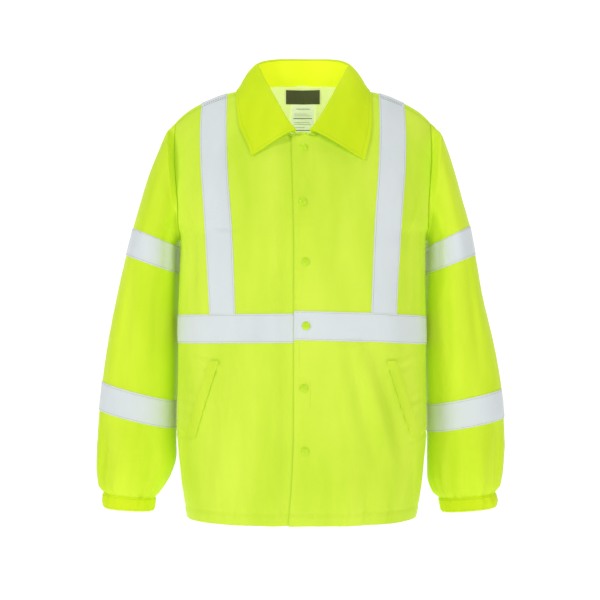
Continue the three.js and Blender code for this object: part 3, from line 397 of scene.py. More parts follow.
def body(face, across, rise):
    """A place of the body's cloth: its point with folds, and the way it faces"""
    point, normal = bare_body(face, across, rise), body_normal(face, across, rise)
    girth, z = girth_at(face, across), point[..., 2]
    off_edge = smooth((np.abs(point[..., 0]) - FLAT_EDGE) / 40) if face == FRONT else 1
    below_yoke = 1 - smooth((rise - YOKE_RISE) / 0.35)
    height = DEEPER * folds_at(body_folds, girth, z, BODY_GIRTH)
    height = (height + folds_at(body_creases, girth, z, BODY_GIRTH)) * below_yoke * off_edge
    calmer = 1 - 0.6 * smooth((rise - YOKE_RISE) / 0.4)
    height = height + calmer * (0.7 * rumple(girth, z * 0.45) + 0.16 * ripple(girth, z * 0.6))
    return point + normal * height[..., None], normal


def rise_where(face, x, target, lowest, axis, sign):
    """The rise from lowest to 2 at which a coordinate of a face reaches its target, by halving"""
    x, target = floats(x, target)
    low, high = np.full_like(x, lowest), np.full_like(x, 2)
    for _ in range(40):
        middle = (low + high) / 2
        short = bare_body(face, across_at(x, middle), middle)[..., axis] * sign < target * sign
        low, high = np.where(short, middle, low), np.where(short, high, middle)
    return low


def rise_at_depth(face, x, y):
    return rise_where(face, x, y, 1, 1, -face)


def on_face(face, x, z):
    """A place of the body's cloth by width and height"""
    rise = rise_where(face, x, z, 0, 2, 1)
    return body(face, across_at(x, rise), rise)


def neckline(angle):
    """The neckline by its angle from the middle of the front, its rise counted up the front"""
    turn = np.radians(angle)
    cosine = np.cos(turn)
    x = NECK_HALF * np.sin(turn)
    front = rise_at_depth(FRONT, x, RIDGE_SHIFT - NECK_FRONT * np.maximum(cosine, 0))
    back = 4 - rise_at_depth(BACK, x, RIDGE_SHIFT - NECK_BACK * np.minimum(cosine, 0))
    return x, np.where(cosine > 0, front, back)


SEAM_RISE = 1 + (90 - SEAM_ANGLE) / 90
NECK_CORNER = float(np.degrees(np.arcsin(UNDERLAP / NECK_HALF)))
angles = np.linspace(30, 100, 1401)
NECK_SEAM = float(np.interp(SEAM_RISE, neckline(angles)[1], angles))


def stops(face, side, row):
    """Across and rise of a row at the middle, both edges of the strap and the armhole"""
    top, drop = WAIST[face, side]

    def height(x):
        tape_top = top - drop * (np.abs(x) / body_half(top)) ** 2
        low = tape_top - TAPE_WIDTH
        below = HEM + (low - HEM) * row / TAPE_LOW
        on_tape = low + TAPE_WIDTH * (row - TAPE_LOW)
        share = (np.minimum(row, CHEST_ROW) - TAPE_HIGH) / (CHEST_ROW - TAPE_HIGH)
        above = tape_top + (CHEST - tape_top) * share
        return np.where(row <= TAPE_LOW, below, np.where(row <= TAPE_HIGH, on_tape, above))

    def own(rise):
        return rise if face == FRONT else 4 - rise

    straight = row <= CHEST_ROW
    middle_level = height(0)
    half = body_half(middle_level)
    step = np.clip(row - CHEST_ROW, 0, DOME_ROWS)
    share = np.clip((row - CORNER_ROW) / (LAST_ROW - CORNER_ROW), 0, 1)
    levels = rise_of(np.array(DOME_LEVELS[face]))
    outer = np.interp(step, range(DOME_ROWS + 1), [1, *levels]) + (own(SEAM_RISE) - levels[-1]) * share
    start = -NECK_CORNER if face == FRONT else 180
    neck_x, neck_rise = neckline(start + (NECK_SEAM - start) * share)
    corner = rise_of(NECK_CORNER_LEVEL) if face == FRONT else own(neckline(180)[1])
    rise = np.where(row <= CORNER_ROW, 1 + (corner - 1) * step / DOME_ROWS, own(neck_rise))
    rise = np.where(straight, rise_of(middle_level), rise)
    level = np.where(straight, np.minimum(middle_level, CHEST), level_of(up_front(outer)))
    middle_x = 0.0
    if face == FRONT:
        at_middle = np.where(straight, middle_level, level_of(rise))
        middle_x = front_edge_x(at_middle) if side == LEFT else UNDERLAP
    middle_x = np.where(row <= CORNER_ROW, middle_x, side * neck_x)
    armhole = np.where(level >= ARMPIT, side * armhole_x(level), side * PAST_SIDE)
    made = [(across_at(middle_x, rise), rise)]
    for x in (side * strap_inner(level), side * strap_outer(level), armhole):
        here = np.where(straight, rise_of(height(np.clip(x, -half, half))), outer)
        made.append((across_at(x, here), here))
    return np.array(made)


def pressed(face, side, row, column, girth, point):
    """How far the cloth stands out at the hem, the seams, the front's edge and the pocket"""
    z = point[:, 2]
    hem = row * ROW_SIZE - HEM_STITCH
    height = 0.8 * smooth(-hem / 3) - 1.5 * groove(hem, 2.4) + pucker(girth, hem, 0.8, 17)
    armhole = (LAST_COLUMN - column) * COLUMN_SIZE
    height = height - 1.3 * groove(armhole, 2.6) + pucker(z, armhole - 3, 0.3, 9)
    height = height - 1.1 * groove((LAST_ROW - row) * TOP_ROW_SIZE, 2.4)
    if face == BACK:
        return height
    edge = column * COLUMN_SIZE - EDGE_STITCH
    height = height + pucker(z, edge + 1, 0.22, 9) - 0.35 * groove(edge, 1.2)
    top, low = np.array(POCKET_TOP) * (side, 1), np.array(POCKET_LOW) * (side, 1)
    length = np.linalg.norm(low - top)
    way = (low - top) / length
    off = point[:, [0, 2]] - top
    along, away = off @ way, off @ np.array([-way[1], way[0]])
    near = smooth(along / POCKET_WIDTH + 1) * smooth((length - along) / POCKET_WIDTH + 1)
    return height + near * pucker(along * 0.6, away, 0.9, 26)


def step_back(x):
    """How far the right front is set back under the lap"""
    return STEP_DEPTH * smooth((x - STEP_FROM) / (STEP_TO - STEP_FROM))


def panel(face, side, row, column, plain=False):
    """Places of a half of the body by row and column, with hems and seams pressed in"""
    row, column = floats(row, column)
    shape = row.shape
    row, column = row.ravel(), column.ravel()
    spots = stops(face, side, row)
    part = np.clip(np.searchsorted(STARTS, column, side="right") - 1, 0, 2)
    share = (column - STARTS[part]) / CELLS[part]
    at = np.arange(len(row))
    (across0, rise0), (across1, rise1) = spots[part, :, at].T, spots[part + 1, :, at].T
    fall = np.where(part == 0, 1 - (1 - share) ** ROW_DROP, share)
    across = across0 + (across1 - across0) * share
    rise = rise0 + (rise1 - rise0) * fall
    point, normal = body(face, across, rise)
    if face == FRONT and side == RIGHT:
        point = point - normal * step_back(point[:, 0])[:, None]
    if not plain:
        height = pressed(face, side, row, column, girth_at(face, across), point)
        point = point + normal * height[:, None]
    return point.reshape(*shape, 3), normal.reshape(*shape, 3)


def numbers(first, last, each):
    """Row, column or ring numbers, with the same count of steps in each whole one"""
    return np.linspace(first, last, int(round((last - first) * each)) + 1)


def all_numbers(*spans):
    return np.unique(np.concatenate([numbers(*span) for span in spans]).round(6))


ROWS = all_numbers((0, 8, 10), (8, 9, 12), (9, 12, 9), (12, 17, 10), (17, 22, 10))
COLUMNS = all_numbers((0, 6, 5), (6, 8, 6), (8, 13, 5))
RINGS = all_numbers((0, 10, 12), (10, CUFF_RING, 11))
AROUND = np.arange(180) / 180

sleeve_curves = {}
for side, rings in SLEEVE.items():
    table = [(n, *ring, *depth) for n, (ring, depth) in enumerate(zip(rings, RING_DEPTHS))]
    sleeve_curves[side] = [curve(table, k) for k in range(1, 7)]


def ring_frame(side, ring):
    """The middle of a ring, the reach from it to its outer end, and its half depth"""
    outer_x, outer_z, inner_x, inner_z, back, depth = (read(ring) for read in sleeve_curves[side])
    outer = np.stack([side * outer_x, back, outer_z], -1)
    inner = np.stack([side * inner_x, back, inner_z], -1)
    return (outer + inner) / 2, (outer - inner) / 2, depth


def ring_point(ring, turn):
    middle, reach, depth = ring
    out = signed_power(np.cos(np.radians(turn)), 2 / SLEEVE_POWER)
    forward = signed_power(np.sin(np.radians(turn)), 2 / SLEEVE_POWER)
    point = middle + reach * out[..., None]
    point[..., 1] -= depth * forward
    return point


def ring_normal(ring, turn):
    in_plane = unit(ring[1])
    way = unit(ring_point(ring, turn + 2) - ring_point(ring, turn - 2))
    normal = in_plane * -way[..., 1:2]
    normal[..., 1] += (way * in_plane).sum(-1)
    return normal


def armhole_loop(side, share):
    """The armhole's edge, from the armpit up the front to the shoulder seam and down the back"""
    row = ARMPIT_ROW + 2 * (LAST_ROW - ARMPIT_ROW) * np.minimum(share, 1 - share)
    front, back = (panel(face, side, row, LAST_COLUMN, plain=True)[0] for face in (FRONT, BACK))
    return np.where((share <= 0.5)[..., None], front, back)


def round_sleeve(turn):
    return np.mod(turn, 360) / 360 * SLEEVE_GIRTH


sleeve_folds, sleeve_creases = (
    [((round_sleeve(a), z0), (round_sleeve(b), z1), width, depth) for a, z0, b, z1, width, depth in table]
    for table in (SLEEVE_FOLDS, SLEEVE_CREASES)
)
gather_wave = waves(21, 7, 0.028, 0.075)
gather_size = waves(23, 5, 0.12, 0.4)


def sleeve(side, ring, share):
    """Places of a sleeve and its cuff by ring and by the share of the way round from the armpit"""
    ring, share = floats(ring, share)
    loop = armhole_loop(side, share)
    first = ring_frame(side, np.zeros_like(share))
    off = loop - first[0]
    out = signed_power((off * first[1]).sum(-1) / (first[1] ** 2).sum(-1), SLEEVE_POWER / 2)
    forward = signed_power(-off[..., 1] / first[2], SLEEVE_POWER / 2)
    even = 180 - 360 * share
    turn0 = np.degrees(np.arctan2(forward, out))
    turn0 = turn0 + 360 * np.round((even - turn0) / 360)
    turn = turn0 + (even - turn0) * smooth(ring / SETTLED_RING)
    here = ring_frame(side, ring)
    point, normal = ring_point(here, turn), ring_normal(here, turn)
    point = point + (loop - ring_point(first, turn0)) * (1 - smooth(ring))[..., None]
    z, around = here[0][..., 2], round_sleeve(turn)
    off_body = smooth(np.abs(np.abs(turn) - 180) / 40)
    height = DEEPER * folds_at(sleeve_folds, around, z, SLEEVE_GIRTH)
    height += folds_at(sleeve_creases, around, z, SLEEVE_GIRTH)
    height = height * off_body * np.clip(CUFF_RING - ring, 0, 1) * smooth(ring)
    gathered = smooth((ring - CUFF_RING + GATHERED_RINGS) / GATHERED_RINGS)
    depth = np.where(ring < CUFF_RING, GATHER_SLEEVE * gathered, GATHER_CUFF)
    uneven = 0.3 * gather_size(share) + 0.35 * gather_wave(share)
    height += depth * (uneven - 0.75 * np.cos(2 * np.pi * GATHERS * share))
    rumpled = 0.55 * rumple(around + 700 * side, z * 0.5) + 0.15 * ripple(around, z)
    off_armpit = smooth(np.abs(np.mod(share + 0.5, 1) - 0.5) / 0.07)
    height += rumpled * smooth(ring) * off_armpit
    seam = ring * RING_SIZE
    height = height - 1.3 * groove(seam, 2.6) + pucker(share * 500, seam - 4, 0.35, 12) * smooth(ring * 3)
    cuff = (ring - CUFF_RING) * CUFF_LENGTH / (LAST_RING - CUFF_RING)
    full = smooth((cuff - 0.5) / 3) * smooth((CUFF_LENGTH - 0.5 - cuff) / 3)
    height += 1.3 * full - groove(cuff, 2)
    return point + normal * height[..., None], normal


def grid_cells(rows, columns, closed=False):
    """The four-sided cells of a grid of points, whose rows may join their own ends"""
    number = np.arange(rows * columns).reshape(rows, columns)
    if closed:
        number = np.concatenate([number, number[:, :1]], 1)
    corners = (number[:-1, :-1], number[:-1, 1:], number[1:, 1:], number[1:, :-1])
    return np.stack(corners, -1).reshape(-1, 4)


def surface(grids):
    """Joins grids into one surface. A grid is points, normals, weave, and whether its rows are closed."""
    points, normals, weave, cells, count = [], [], [], [], 0
    for point, normal, coordinates, closed in grids:
        cell = grid_cells(*point.shape[:2], closed)
        flat, facing = point.reshape(-1, 3), normal.reshape(-1, 3)
        corner = flat[cell]
        across = np.cross(corner[:, 2] - corner[:, 0], corner[:, 3] - corner[:, 1])
        if (across * facing[cell[:, 0]]).sum() < 0:
            cell = cell[:, ::-1]
        points.append(flat)
        normals.append(facing)
        weave.append(coordinates.reshape(-1, 2))
        cells.append(cell + count)
        count += len(flat)
    points, normals, weave, cells = (np.concatenate(part) for part in (points, normals, weave, cells))
    _, first, now = np.unique(points.round(3), axis=0, return_index=True, return_inverse=True)
    return points[first], normals[first], weave[first], now.ravel()[cells]


def own_normals(points, cells, facing):
    """The way each point of a surface faces, from the cells round it"""
    corner = points[cells]
    way = np.cross(corner[:, 2] - corner[:, 0], corner[:, 3] - corner[:, 1])
    total = np.zeros_like(points)
    for k in range(4):
        np.add.at(total, cells[:, k], way)
    return unit(total + 1e-9 * facing)


def make_mesh(name, points, polygons, colour, weave=None, sharp=None):
    """A mesh in the scene from points in millimetres and four-sided cells"""
    mesh = bpy.data.meshes.new(name)
    mesh.from_pydata((points * MM).tolist(), [], polygons.tolist(), shade_flat=False)
    if weave is not None:
        layer = mesh.uv_layers.new(name="weave")
        layer.data.foreach_set("uv", (weave[polygons.ravel()] * MM).astype(np.float32).ravel())
    if sharp is not None:
        ends = np.zeros(len(mesh.edges) * 2, np.int32)
        mesh.edges.foreach_get("vertices", ends)
        ends, wanted = (np.sort(e.reshape(-1, 2), 1) @ np.array([len(points), 1]) for e in (ends, sharp))
        marks = mesh.attributes.new("sharp_edge", "BOOLEAN", "EDGE")
        marks.data.foreach_set("value", np.isin(ends, wanted))
    mesh.validate()
    mesh.materials.append(colour)
    made = bpy.data.objects.new(name, mesh)
    bpy.context.scene.collection.objects.link(made)
    return made


def shell(name, grids, colour, thickness, lift):
    """A thin shell of cloth on a surface, its outside lifted from it"""
    points, facing, weave, cells = surface(grids)
    outside = points + facing * lift
    inside = outside - own_normals(outside, cells, facing) * thickness
    count = len(points)
    edges = np.concatenate([cells[:, [k, (k + 1) % 4]] for k in range(4)])
    key = np.sort(edges, 1) @ np.array([count, 1])
    _, back, times = np.unique(key, return_inverse=True, return_counts=True)
    rim = edges[times[back.ravel()] == 1]
    sides = np.stack([rim[:, 1], rim[:, 0], rim[:, 0] + count, rim[:, 1] + count], 1)
    polygons = np.concatenate([cells, cells[:, ::-1] + count, sides])
    sharp = np.concatenate([rim, rim + count])
    points, weave = np.concatenate([outside, inside]), np.concatenate([weave, weave])
    return make_mesh(name, points, polygons, colour, weave, sharp)


def drawn_in(grid, low=0.0, high=0.0, end=0.0):
    """Draws in the edges of a grid of points, to leave the seams' gaps"""
    grid = grid.copy()
    sides = ((low, grid[0], grid[1]), (high, grid[-1], grid[-2]), (end, grid[:, -1], grid[:, -2]))
    for amount, edge, near in sides:
        edge += unit(near - edge) * amount
    return grid


def panel_grid(face, side, rows, columns, **edges):
    row, column = np.meshgrid(rows, columns, indexing="ij")
    point, normal = panel(face, side, row, column)
    weave = np.stack([side * face * column * COLUMN_SIZE, row * WEAVE_ROW], -1)
    return drawn_in(point, **edges), normal, weave, False


def sleeve_grid(side, rings, **edges):
    ring, share = np.meshgrid(rings, AROUND, indexing="ij")
    point, normal = sleeve(side, ring, share)
    weave = np.stack([share * SLEEVE_GIRTH, -ring * WEAVE_RING], -1)
    return drawn_in(point, **edges), normal, weave, True


# Materials
def wire(tree, made, values):
    """Sets inputs of a shader node, and links those that are given as a socket"""
    for key, value in values.items():
        if isinstance(value, bpy.types.NodeSocket):
            tree.links.new(value, made.inputs[key])
        else:
            made.inputs[key].default_value = value


def node(tree, kind, values, output, **settings):
    """An output of a new shader node"""
    made = tree.nodes.new("ShaderNode" + kind)
    for key, value in settings.items():
        setattr(made, key, value)
    wire(tree, made, values)
    return made.outputs[output]


def ramp(tree, value, dark, light, start=0.0, end=1.0):
    """A blend of two colours by a value from start to end"""
    made = tree.nodes.new("ShaderNodeValToRGB")
    tree.links.new(value, made.inputs["Fac"])
    for element, place, colour in zip(made.color_ramp.elements, (start, end), (dark, light)):
        element.position = place
        element.color = (*colour, 1)
    return made.outputs["Color"]


def material(name):
    made = bpy.data.materials.new(name)
    made.use_nodes = True
    tree = made.node_tree
    return made, tree, tree.nodes["Principled BSDF"]


def textile(name, dark, light, roughness, threads, depth, painted_glow=0.0, patch=16.0, grain=0.3):
    """A woven cloth: two threads at right angles as a bump, a soft blend of two colours in streaks drawn
    out up the cloth, partly random tone and partly painted light and shade of soft folds, and emission that
    is painted light
    """
    made, tree, shader = material(name)
    place = node(tree, "TexCoord", {}, "Object")
    # Stretched up the cloth, the noise gives streaks of painted light and shade like those of soft folds.
    drawn = node(tree, "Mapping", {"Vector": place, "Scale": (1.0, 1.0, 0.22)}, "Vector")
    tone_and_shade_streaks = {"Vector": drawn, "Scale": patch, "Detail": 3.0, "Roughness": 0.5}
    tone_and_shade_streaks = node(tree, "TexNoise", tone_and_shade_streaks, "Fac")
    grains = node(tree, "TexNoise", {"Vector": place, "Scale": 1400.0, "Detail": 1.0}, "Fac")
    mottle_and_painted_shade = node(tree, "Math", {0: grains, 1: grain, 2: tone_and_shade_streaks}, 0, operation="MULTIPLY_ADD")
    weave = node(tree, "TexCoord", {}, "UV")
    wave = {"Vector": weave, "Scale": threads, "Distortion": 0.6}
    warp = node(tree, "TexWave", wave, "Fac", wave_type="BANDS", bands_direction="X")
    weft = node(tree, "TexWave", wave, "Fac", wave_type="BANDS", bands_direction="Y")
    cross = node(tree, "Math", {0: warp, 1: weft}, 0, operation="MAXIMUM")
    bump = node(tree, "Bump", {"Strength": depth, "Distance": 0.0002, "Height": cross}, "Normal")
    wrinkle = {"Vector": place, "Scale": 55.0, "Detail": 4.0, "Roughness": 0.6}
    wrinkle = node(tree, "TexNoise", wrinkle, "Fac")
    soft = {"Strength": 0.12, "Distance": 0.003, "Height": wrinkle, "Normal": bump}
    wire(tree, shader, {
        "Base Color": ramp(tree, mottle_and_painted_shade, dark, light, 0.38, 0.85),
        "Normal": node(tree, "Bump", soft, "Normal"),
        "Roughness": roughness,
        "Specular IOR Level": 0.08,
        # Emission is painted light: the cloth glows though it is no lamp, which keeps its shade bright.
        "Emission Color": (*light, 1),
        "Emission Strength": painted_glow,
    })
    return made


# The body's cloth has more blue in its colour than the sleeves' copy: a painted sheen, put in the colour in
# place of gloss.
SHELL_COLOUR = textile("shell", (0.54, 0.77, 0.036), (0.68, 0.87, 0.070), 0.46, 420, 0.35, 0.10)
SLEEVE_COLOUR = textile("sleeve_shell", (0.54, 0.77, 0.018), (0.68, 0.87, 0.044), 0.46, 420, 0.35, 0.10)
COLLAR_COLOUR = textile("collar_shell", (0.55, 0.75, 0.008), (0.65, 0.83, 0.016), 0.5, 420, 0.35, 0.12)
# A brighter copy of the collar's cloth with stronger emission: painted light for the stand's inner side.
LIT_STAND_COLOUR = textile("stand_painted_light", (0.70, 0.80, 0.010), (0.80, 0.88, 0.020), 0.5, 420, 0.35, 0.34)
# The welts take a darker copy of the shell: painted shade of the pocket's opening.
SHADED_WELT_COLOUR = textile("welt_painted_shade", (0.53, 0.76, 0.030), (0.66, 0.85, 0.058), 0.5, 420, 0.35, 0.09)
TAPE_COLOUR = textile("tape", (0.66, 0.71, 0.72), (0.74, 0.79, 0.80), 0.38, 260, 0.5, 0.04, 14.0, 0.5)
# The lining and the labels take strong emission: painted light inside the neck, where little light reaches.
LINING_COLOUR = textile("lining", (0.76, 0.82, 0.30), (0.84, 0.88, 0.42), 0.7, 300, 0.4, 0.42)
DARK_LABEL = textile("neck_label", (0.075, 0.075, 0.045), (0.12, 0.12, 0.075), 0.6, 700, 0.5, 0.15)
WHITE_LABEL = textile("care_label", (0.80, 0.82, 0.68), (0.88, 0.90, 0.78), 0.5, 500, 0.3, 0.40)
THREAD = textile("thread", (0.40, 0.66, 0.02), (0.50, 0.78, 0.04), 0.5, 900, 0.3)
SEAM_THREAD = textile("seam_thread", (0.05, 0.05, 0.04), (0.09, 0.09, 0.08), 0.6, 900, 0.3)
TAPE_THREAD = textile("tape_thread", (0.30, 0.32, 0.33), (0.42, 0.44, 0.45), 0.5, 900, 0.3)

SNAP_COLOUR, snap_tree, snap_shader = material("snap")
snap_place = node(snap_tree, "TexCoord", {}, "Object")
snap_noise = {"Vector": snap_place, "Scale": 300.0, "Detail": 2.0}
snap_noise = node(snap_tree, "TexNoise", snap_noise, "Fac")
snap_bump = {"Strength": 0.05, "Distance": 0.0002, "Height": snap_noise}
wire(snap_tree, snap_shader, {
    "Base Color": ramp(snap_tree, snap_noise, (0.46, 0.72, 0.004), (0.54, 0.79, 0.008)),
    "Normal": node(snap_tree, "Bump", snap_bump, "Normal"),
    "Roughness": 0.3,
    "Coat Weight": 0.15,
    # Emission is painted light that brightens the snaps.
    "Emission Color": (0.5, 0.8, 0.002, 1),
    "Emission Strength": 0.12,
})


def placed(piece, slot, *nodes):
    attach(piece, "root")
    if nodes:
        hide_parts(*nodes)
    return piece


def cut_size(grids):
    """The widest row, the longest column and the area of the cloth laid flat, in metres"""
    width, length, area = 0.0, 0.0, 0.0
    for point, _, _, closed in grids:
        around = np.concatenate([point, point[:, :1]], 1) if closed else point
        width += np.linalg.norm(np.diff(around, axis=1), axis=2).sum(1).max()
        length = max(length, np.linalg.norm(np.diff(point, axis=0), axis=2).sum(0).max())
        one, other = around[1:, 1:] - around[:-1, :-1], around[1:, :-1] - around[:-1, 1:]
        area += np.linalg.norm(np.cross(one, other), axis=2).sum() / 2
    return width * MM, length * MM, min(area, width * length) * MM * MM


def cloth_piece(name, slot, grids, colour, thickness, lift):
    """A piece of cloth on the form of its solid. The size it was cut to is worked out but not used."""
    made = placed(shell(name + "_cloth", grids, colour, thickness, lift), slot, name)
    width, length, area = cut_size(grids)
    return made


def tape(name, grids):
    cloth_piece(name, "tape", grids, TAPE_COLOUR, TAPE, TAPE_LIFT)


def both_halves(rows, columns, **edges):
    return [panel_grid(BACK, side, rows, columns, **edges) for side in (RIGHT, LEFT)]


# Fronts and back
seams = {"high": HALF_SEAM, "end": HALF_SEAM}
for word, side in SIDES.items():
    grid = panel_grid(FRONT, side, ROWS, COLUMNS, **seams)
    cloth_piece(f"front_{word}", "shell", [grid], SHELL_COLOUR, CLOTH, 0)
back_grids = both_halves(ROWS, COLUMNS, **seams)
cloth_piece("back", "shell", back_grids, SHELL_COLOUR, CLOTH, 0)

# Tapes of the body
strap_rows, strap_columns = ROWS[ROWS >= TAPE_HIGH], numbers(STRAP_START, STRAP_END, 6)
waist_rows = numbers(TAPE_LOW, TAPE_HIGH, 12)
for word, side in SIDES.items():
    for where, face, under in (("front", FRONT, f"front_{word}_cloth"), ("back", BACK, "back_cloth")):
        grid = panel_grid(face, side, strap_rows, strap_columns, low=SEAM, high=HALF_SEAM)
        tape(f"shoulder_tape_{where}_{word}", [grid])
    grid = panel_grid(FRONT, side, waist_rows, COLUMNS, end=HALF_SEAM)
    tape(f"waist_tape_front_{word}", [grid])
tape("waist_tape_back", both_halves(waist_rows, COLUMNS, end=HALF_SEAM))

# Sleeves, their tapes and their cuffs
for word, side in SIDES.items():
    grid = sleeve_grid(side, RINGS, low=HALF_SEAM, high=HALF_SEAM)
    cloth_piece(f"sleeve_{word}", "shell", [grid], SLEEVE_COLOUR, CLOTH, 0)
    for level, ring in (("upper", UPPER_TAPE_RING), ("lower", LOWER_TAPE_RING)):
        grid = sleeve_grid(side, numbers(ring, ring + 1, 12))
        tape(f"sleeve_tape_{level}_{word}", [grid])
    grid = sleeve_grid(side, numbers(CUFF_RING, LAST_RING, 8), low=HALF_SEAM)
    cloth_piece(f"cuff_{word}", "shell", [grid], COLLAR_COLOUR, CUFF_CLOTH, 0)

# The collar
close_rise, close_across = np.meshgrid(np.linspace(1.2, 2, 61), np.linspace(-0.62, 0.62, 81), indexing="ij")
close_point, close_normal = (
    np.concatenate([form(face, close_across, close_rise).reshape(-1, 3) for face in (FRONT, BACK)])
    for form in (bare_body, body_normal)
)


def held_clear(points, clear):
    """Moves points off the body until they stand clear of it"""
    for _ in range(3):
        near = np.array([((close_point - p) ** 2).sum(1).argmin() for p in points])
        height = ((points - close_point[near]) * close_normal[near]).sum(1)
        points = points + close_normal[near] * np.maximum(0, clear - height)[:, None]
    return points


def spline(rows, parts):
    """A smooth curve through rows of points, with parts steps between each two rows"""
    ends = np.concatenate([2 * rows[:1] - rows[1:2], rows, 2 * rows[-1:] - rows[-2:-1]])
    made = []
    for p0, p1, p2, p3 in zip(ends, ends[1:], ends[2:], ends[3:]):
        for t in np.arange(parts) / parts:
            square, cube = 2 * p0 - 5 * p1 + 4 * p2 - p3, 3 * p1 - p0 - 3 * p2 + p3
            made.append(0.5 * (2 * p1 + (p2 - p0) * t + square * t * t + cube * t**3))
    return np.array(made + [rows[-1]])


def collar_half(side):
    """Rows of a half of the collar as if on the wearer's left, from its front end to the back"""
    angle = np.linspace(COLLAR_END, NECK_SEAM, 46)
    angle = np.concatenate([angle, np.linspace(NECK_SEAM, 180, 46)[1:]])
    front = angle < NECK_SEAM
    made = []
    for face, start in ((FRONT, -NECK_CORNER), (BACK, 180)):
        row = CORNER_ROW + (LAST_ROW - CORNER_ROW) * (angle - start) / (NECK_SEAM - start)
        row = np.clip(row, CORNER_ROW, LAST_ROW)
        seam, normal = panel(face, LEFT, row, 0, plain=True)
        way = panel(face, LEFT, row, 1, plain=True)[0] - seam
        way = unit(way - normal * (way * normal).sum(1)[:, None])
        made.append((seam, normal, way))
    seam, normal, outward = (np.where(front[:, None], a, b) for a, b in zip(*made))
    base = seam + normal * SEAM_CLEAR + outward * COLLAR_CLOTH
    if side == RIGHT:
        set_back = step_back(-seam[:, 0]) * smooth((angle - LAP_ANGLE) / LAP_RUN) * front
        base = base - normal * set_back[:, None]
    fold_x, fold_y, fold_z, edge_x, edge_y, wider = (curve(COLLAR, k)(180 - angle) for k in range(1, 7))
    edge_x = edge_x + (wider if side == LEFT else 0)
    fold = held_clear(np.stack([fold_x, fold_y, fold_z], 1), FOLD_CLEAR)
    away = unit(np.stack([fold[:, 0], fold[:, 1] - RIDGE_SHIFT, np.zeros_like(angle)], 1))
    ahead = edge_y < RIDGE_SHIFT
    rises = (rise_at_depth(face, edge_x, edge_y) for face in (FRONT, BACK))
    rise = np.where(ahead, *rises)
    edge = (bare_body(face, across_at(edge_x, rise), rise) for face in (FRONT, BACK))
    edge = np.where(ahead[:, None], *edge)
    rows = [base + (fold - base) * t - away * STAND_BULGE * np.sin(np.pi * t) for t in (0, 1 / 3, 2 / 3)]
    rows += [fold, fold + away * FOLD_OUT + np.array([0, 0, FOLD_UP])]
    for t in (0.2, 0.4, 0.6, 0.8, 1):
        bulge = LEAF_BULGE * np.sin(np.pi * t**0.6)
        leaf = fold + (edge - fold) * t + away * bulge + np.array([0, 0, bulge / 2])
        rows.append(held_clear(leaf, LEAF_CLEAR))
    return np.array(rows)


mirror = collar_half(RIGHT)[:, ::-1] * np.array([-1, 1, 1])
collar_rows = spline(np.concatenate([collar_half(LEFT), mirror[:, 1:]], 1), SPLINE_PARTS)
collar_normals = unit(np.cross(np.gradient(collar_rows, axis=1), np.gradient(collar_rows, axis=0)))
steps = np.linalg.norm(np.diff(collar_rows, axis=0), axis=-1).mean(1)
lengths = np.concatenate([[0], np.cumsum(steps)])
to_edge = (lengths[-1] - lengths)[:, None]
steps = np.linalg.norm(np.diff(collar_rows, axis=1), axis=-1)
end_run = np.concatenate([np.zeros((len(collar_rows), 1)), np.cumsum(steps, 1)], 1)
to_end = np.minimum(end_run, end_run[:, -1:] - end_run)
near = np.where(lengths[:, None] > LEAF_START, np.minimum(to_edge, to_end), to_end)
dent = 0.5 * groove(near - COLLAR_STITCH, 1.3) - 0.25 * np.sin(end_run / 17) * smooth(to_edge / 30)
collar_rows = collar_rows + collar_normals * dent[..., None]
weave = np.stack([end_run, np.broadcast_to(lengths[:, None], end_run.shape)], -1)
grids = [(collar_rows, collar_normals, weave, False)]
collar = cloth_piece("collar", "shell", grids, COLLAR_COLOUR, COLLAR_CLOTH, 0)

# The stand's inner side takes a brighter copy of the collar's cloth, with stronger emission: painted light
# on it.
rows_up, cells_along = len(collar_rows) - 1, collar_rows.shape[1] - 1
painted_light_on_stand = np.zeros(len(collar.data.polygons), np.int32)
painted_light_on_stand[rows_up * cells_along :][: STAND_ROWS * SPLINE_PARTS * cells_along] = 1
collar.data.materials.append(LIT_STAND_COLOUR)
collar.data.polygons.foreach_set("material_index", painted_light_on_stand)

# Pocket welts
for word, side in SIDES.items():
    t, off = np.meshgrid(np.linspace(0, 1, 57), np.linspace(0, 1, 11), indexing="ij")
    x = POCKET_LOW[0] + (POCKET_TOP[0] - POCKET_LOW[0]) * t - POCKET_WIDTH * off
    z = POCKET_LOW[1] + (POCKET_TOP[1] - POCKET_LOW[1]) * t
    point, normal = on_face(FRONT, side * x, z)
    crown = 0.5 * np.sin(np.pi * np.clip(off, 0, 1)) ** 0.5 + 0.12 * pucker_wave(z)
    weave = np.stack([off * POCKET_WIDTH, t * WELT_LENGTH], -1)
    grids, lift = [(point + normal * crown[..., None], normal, weave, False)], WELT_CLOTH + WELT_GAP
    under = [f"front_{word}_cloth"]
    # The welt's darker cloth is painted shade.
    cloth_piece(f"pocket_welt_{word}", "shell", grids, SHADED_WELT_COLOUR, WELT_CLOTH, lift)

# Lining and labels in the back of the neck
LINING_LIFT = -CLOTH - LINING_GAP
LABEL_LIFT = LINING_LIFT - LINING_CLOTH - LABEL_GAP
back_grids = both_halves(ROWS[ROWS >= LINING_ROW], COLUMNS[COLUMNS <= STRAP_START], high=1)
under = ["back_cloth"]
cloth_piece("lining_back", "lining", back_grids, LINING_COLOUR, LINING_CLOTH, LINING_LIFT)


def label_place(size, across, down):
    """Places on a label by shares across and down it. It bows out, more to one side."""
    width, height, top, middle, lean = size
    x = middle + width * across - np.tan(np.radians(lean)) * height * down
    point, normal = on_face(BACK, x, top - height * down)
    return point - normal * (0.5 * np.sin(np.pi * down) * (1 + across))[..., None], normal


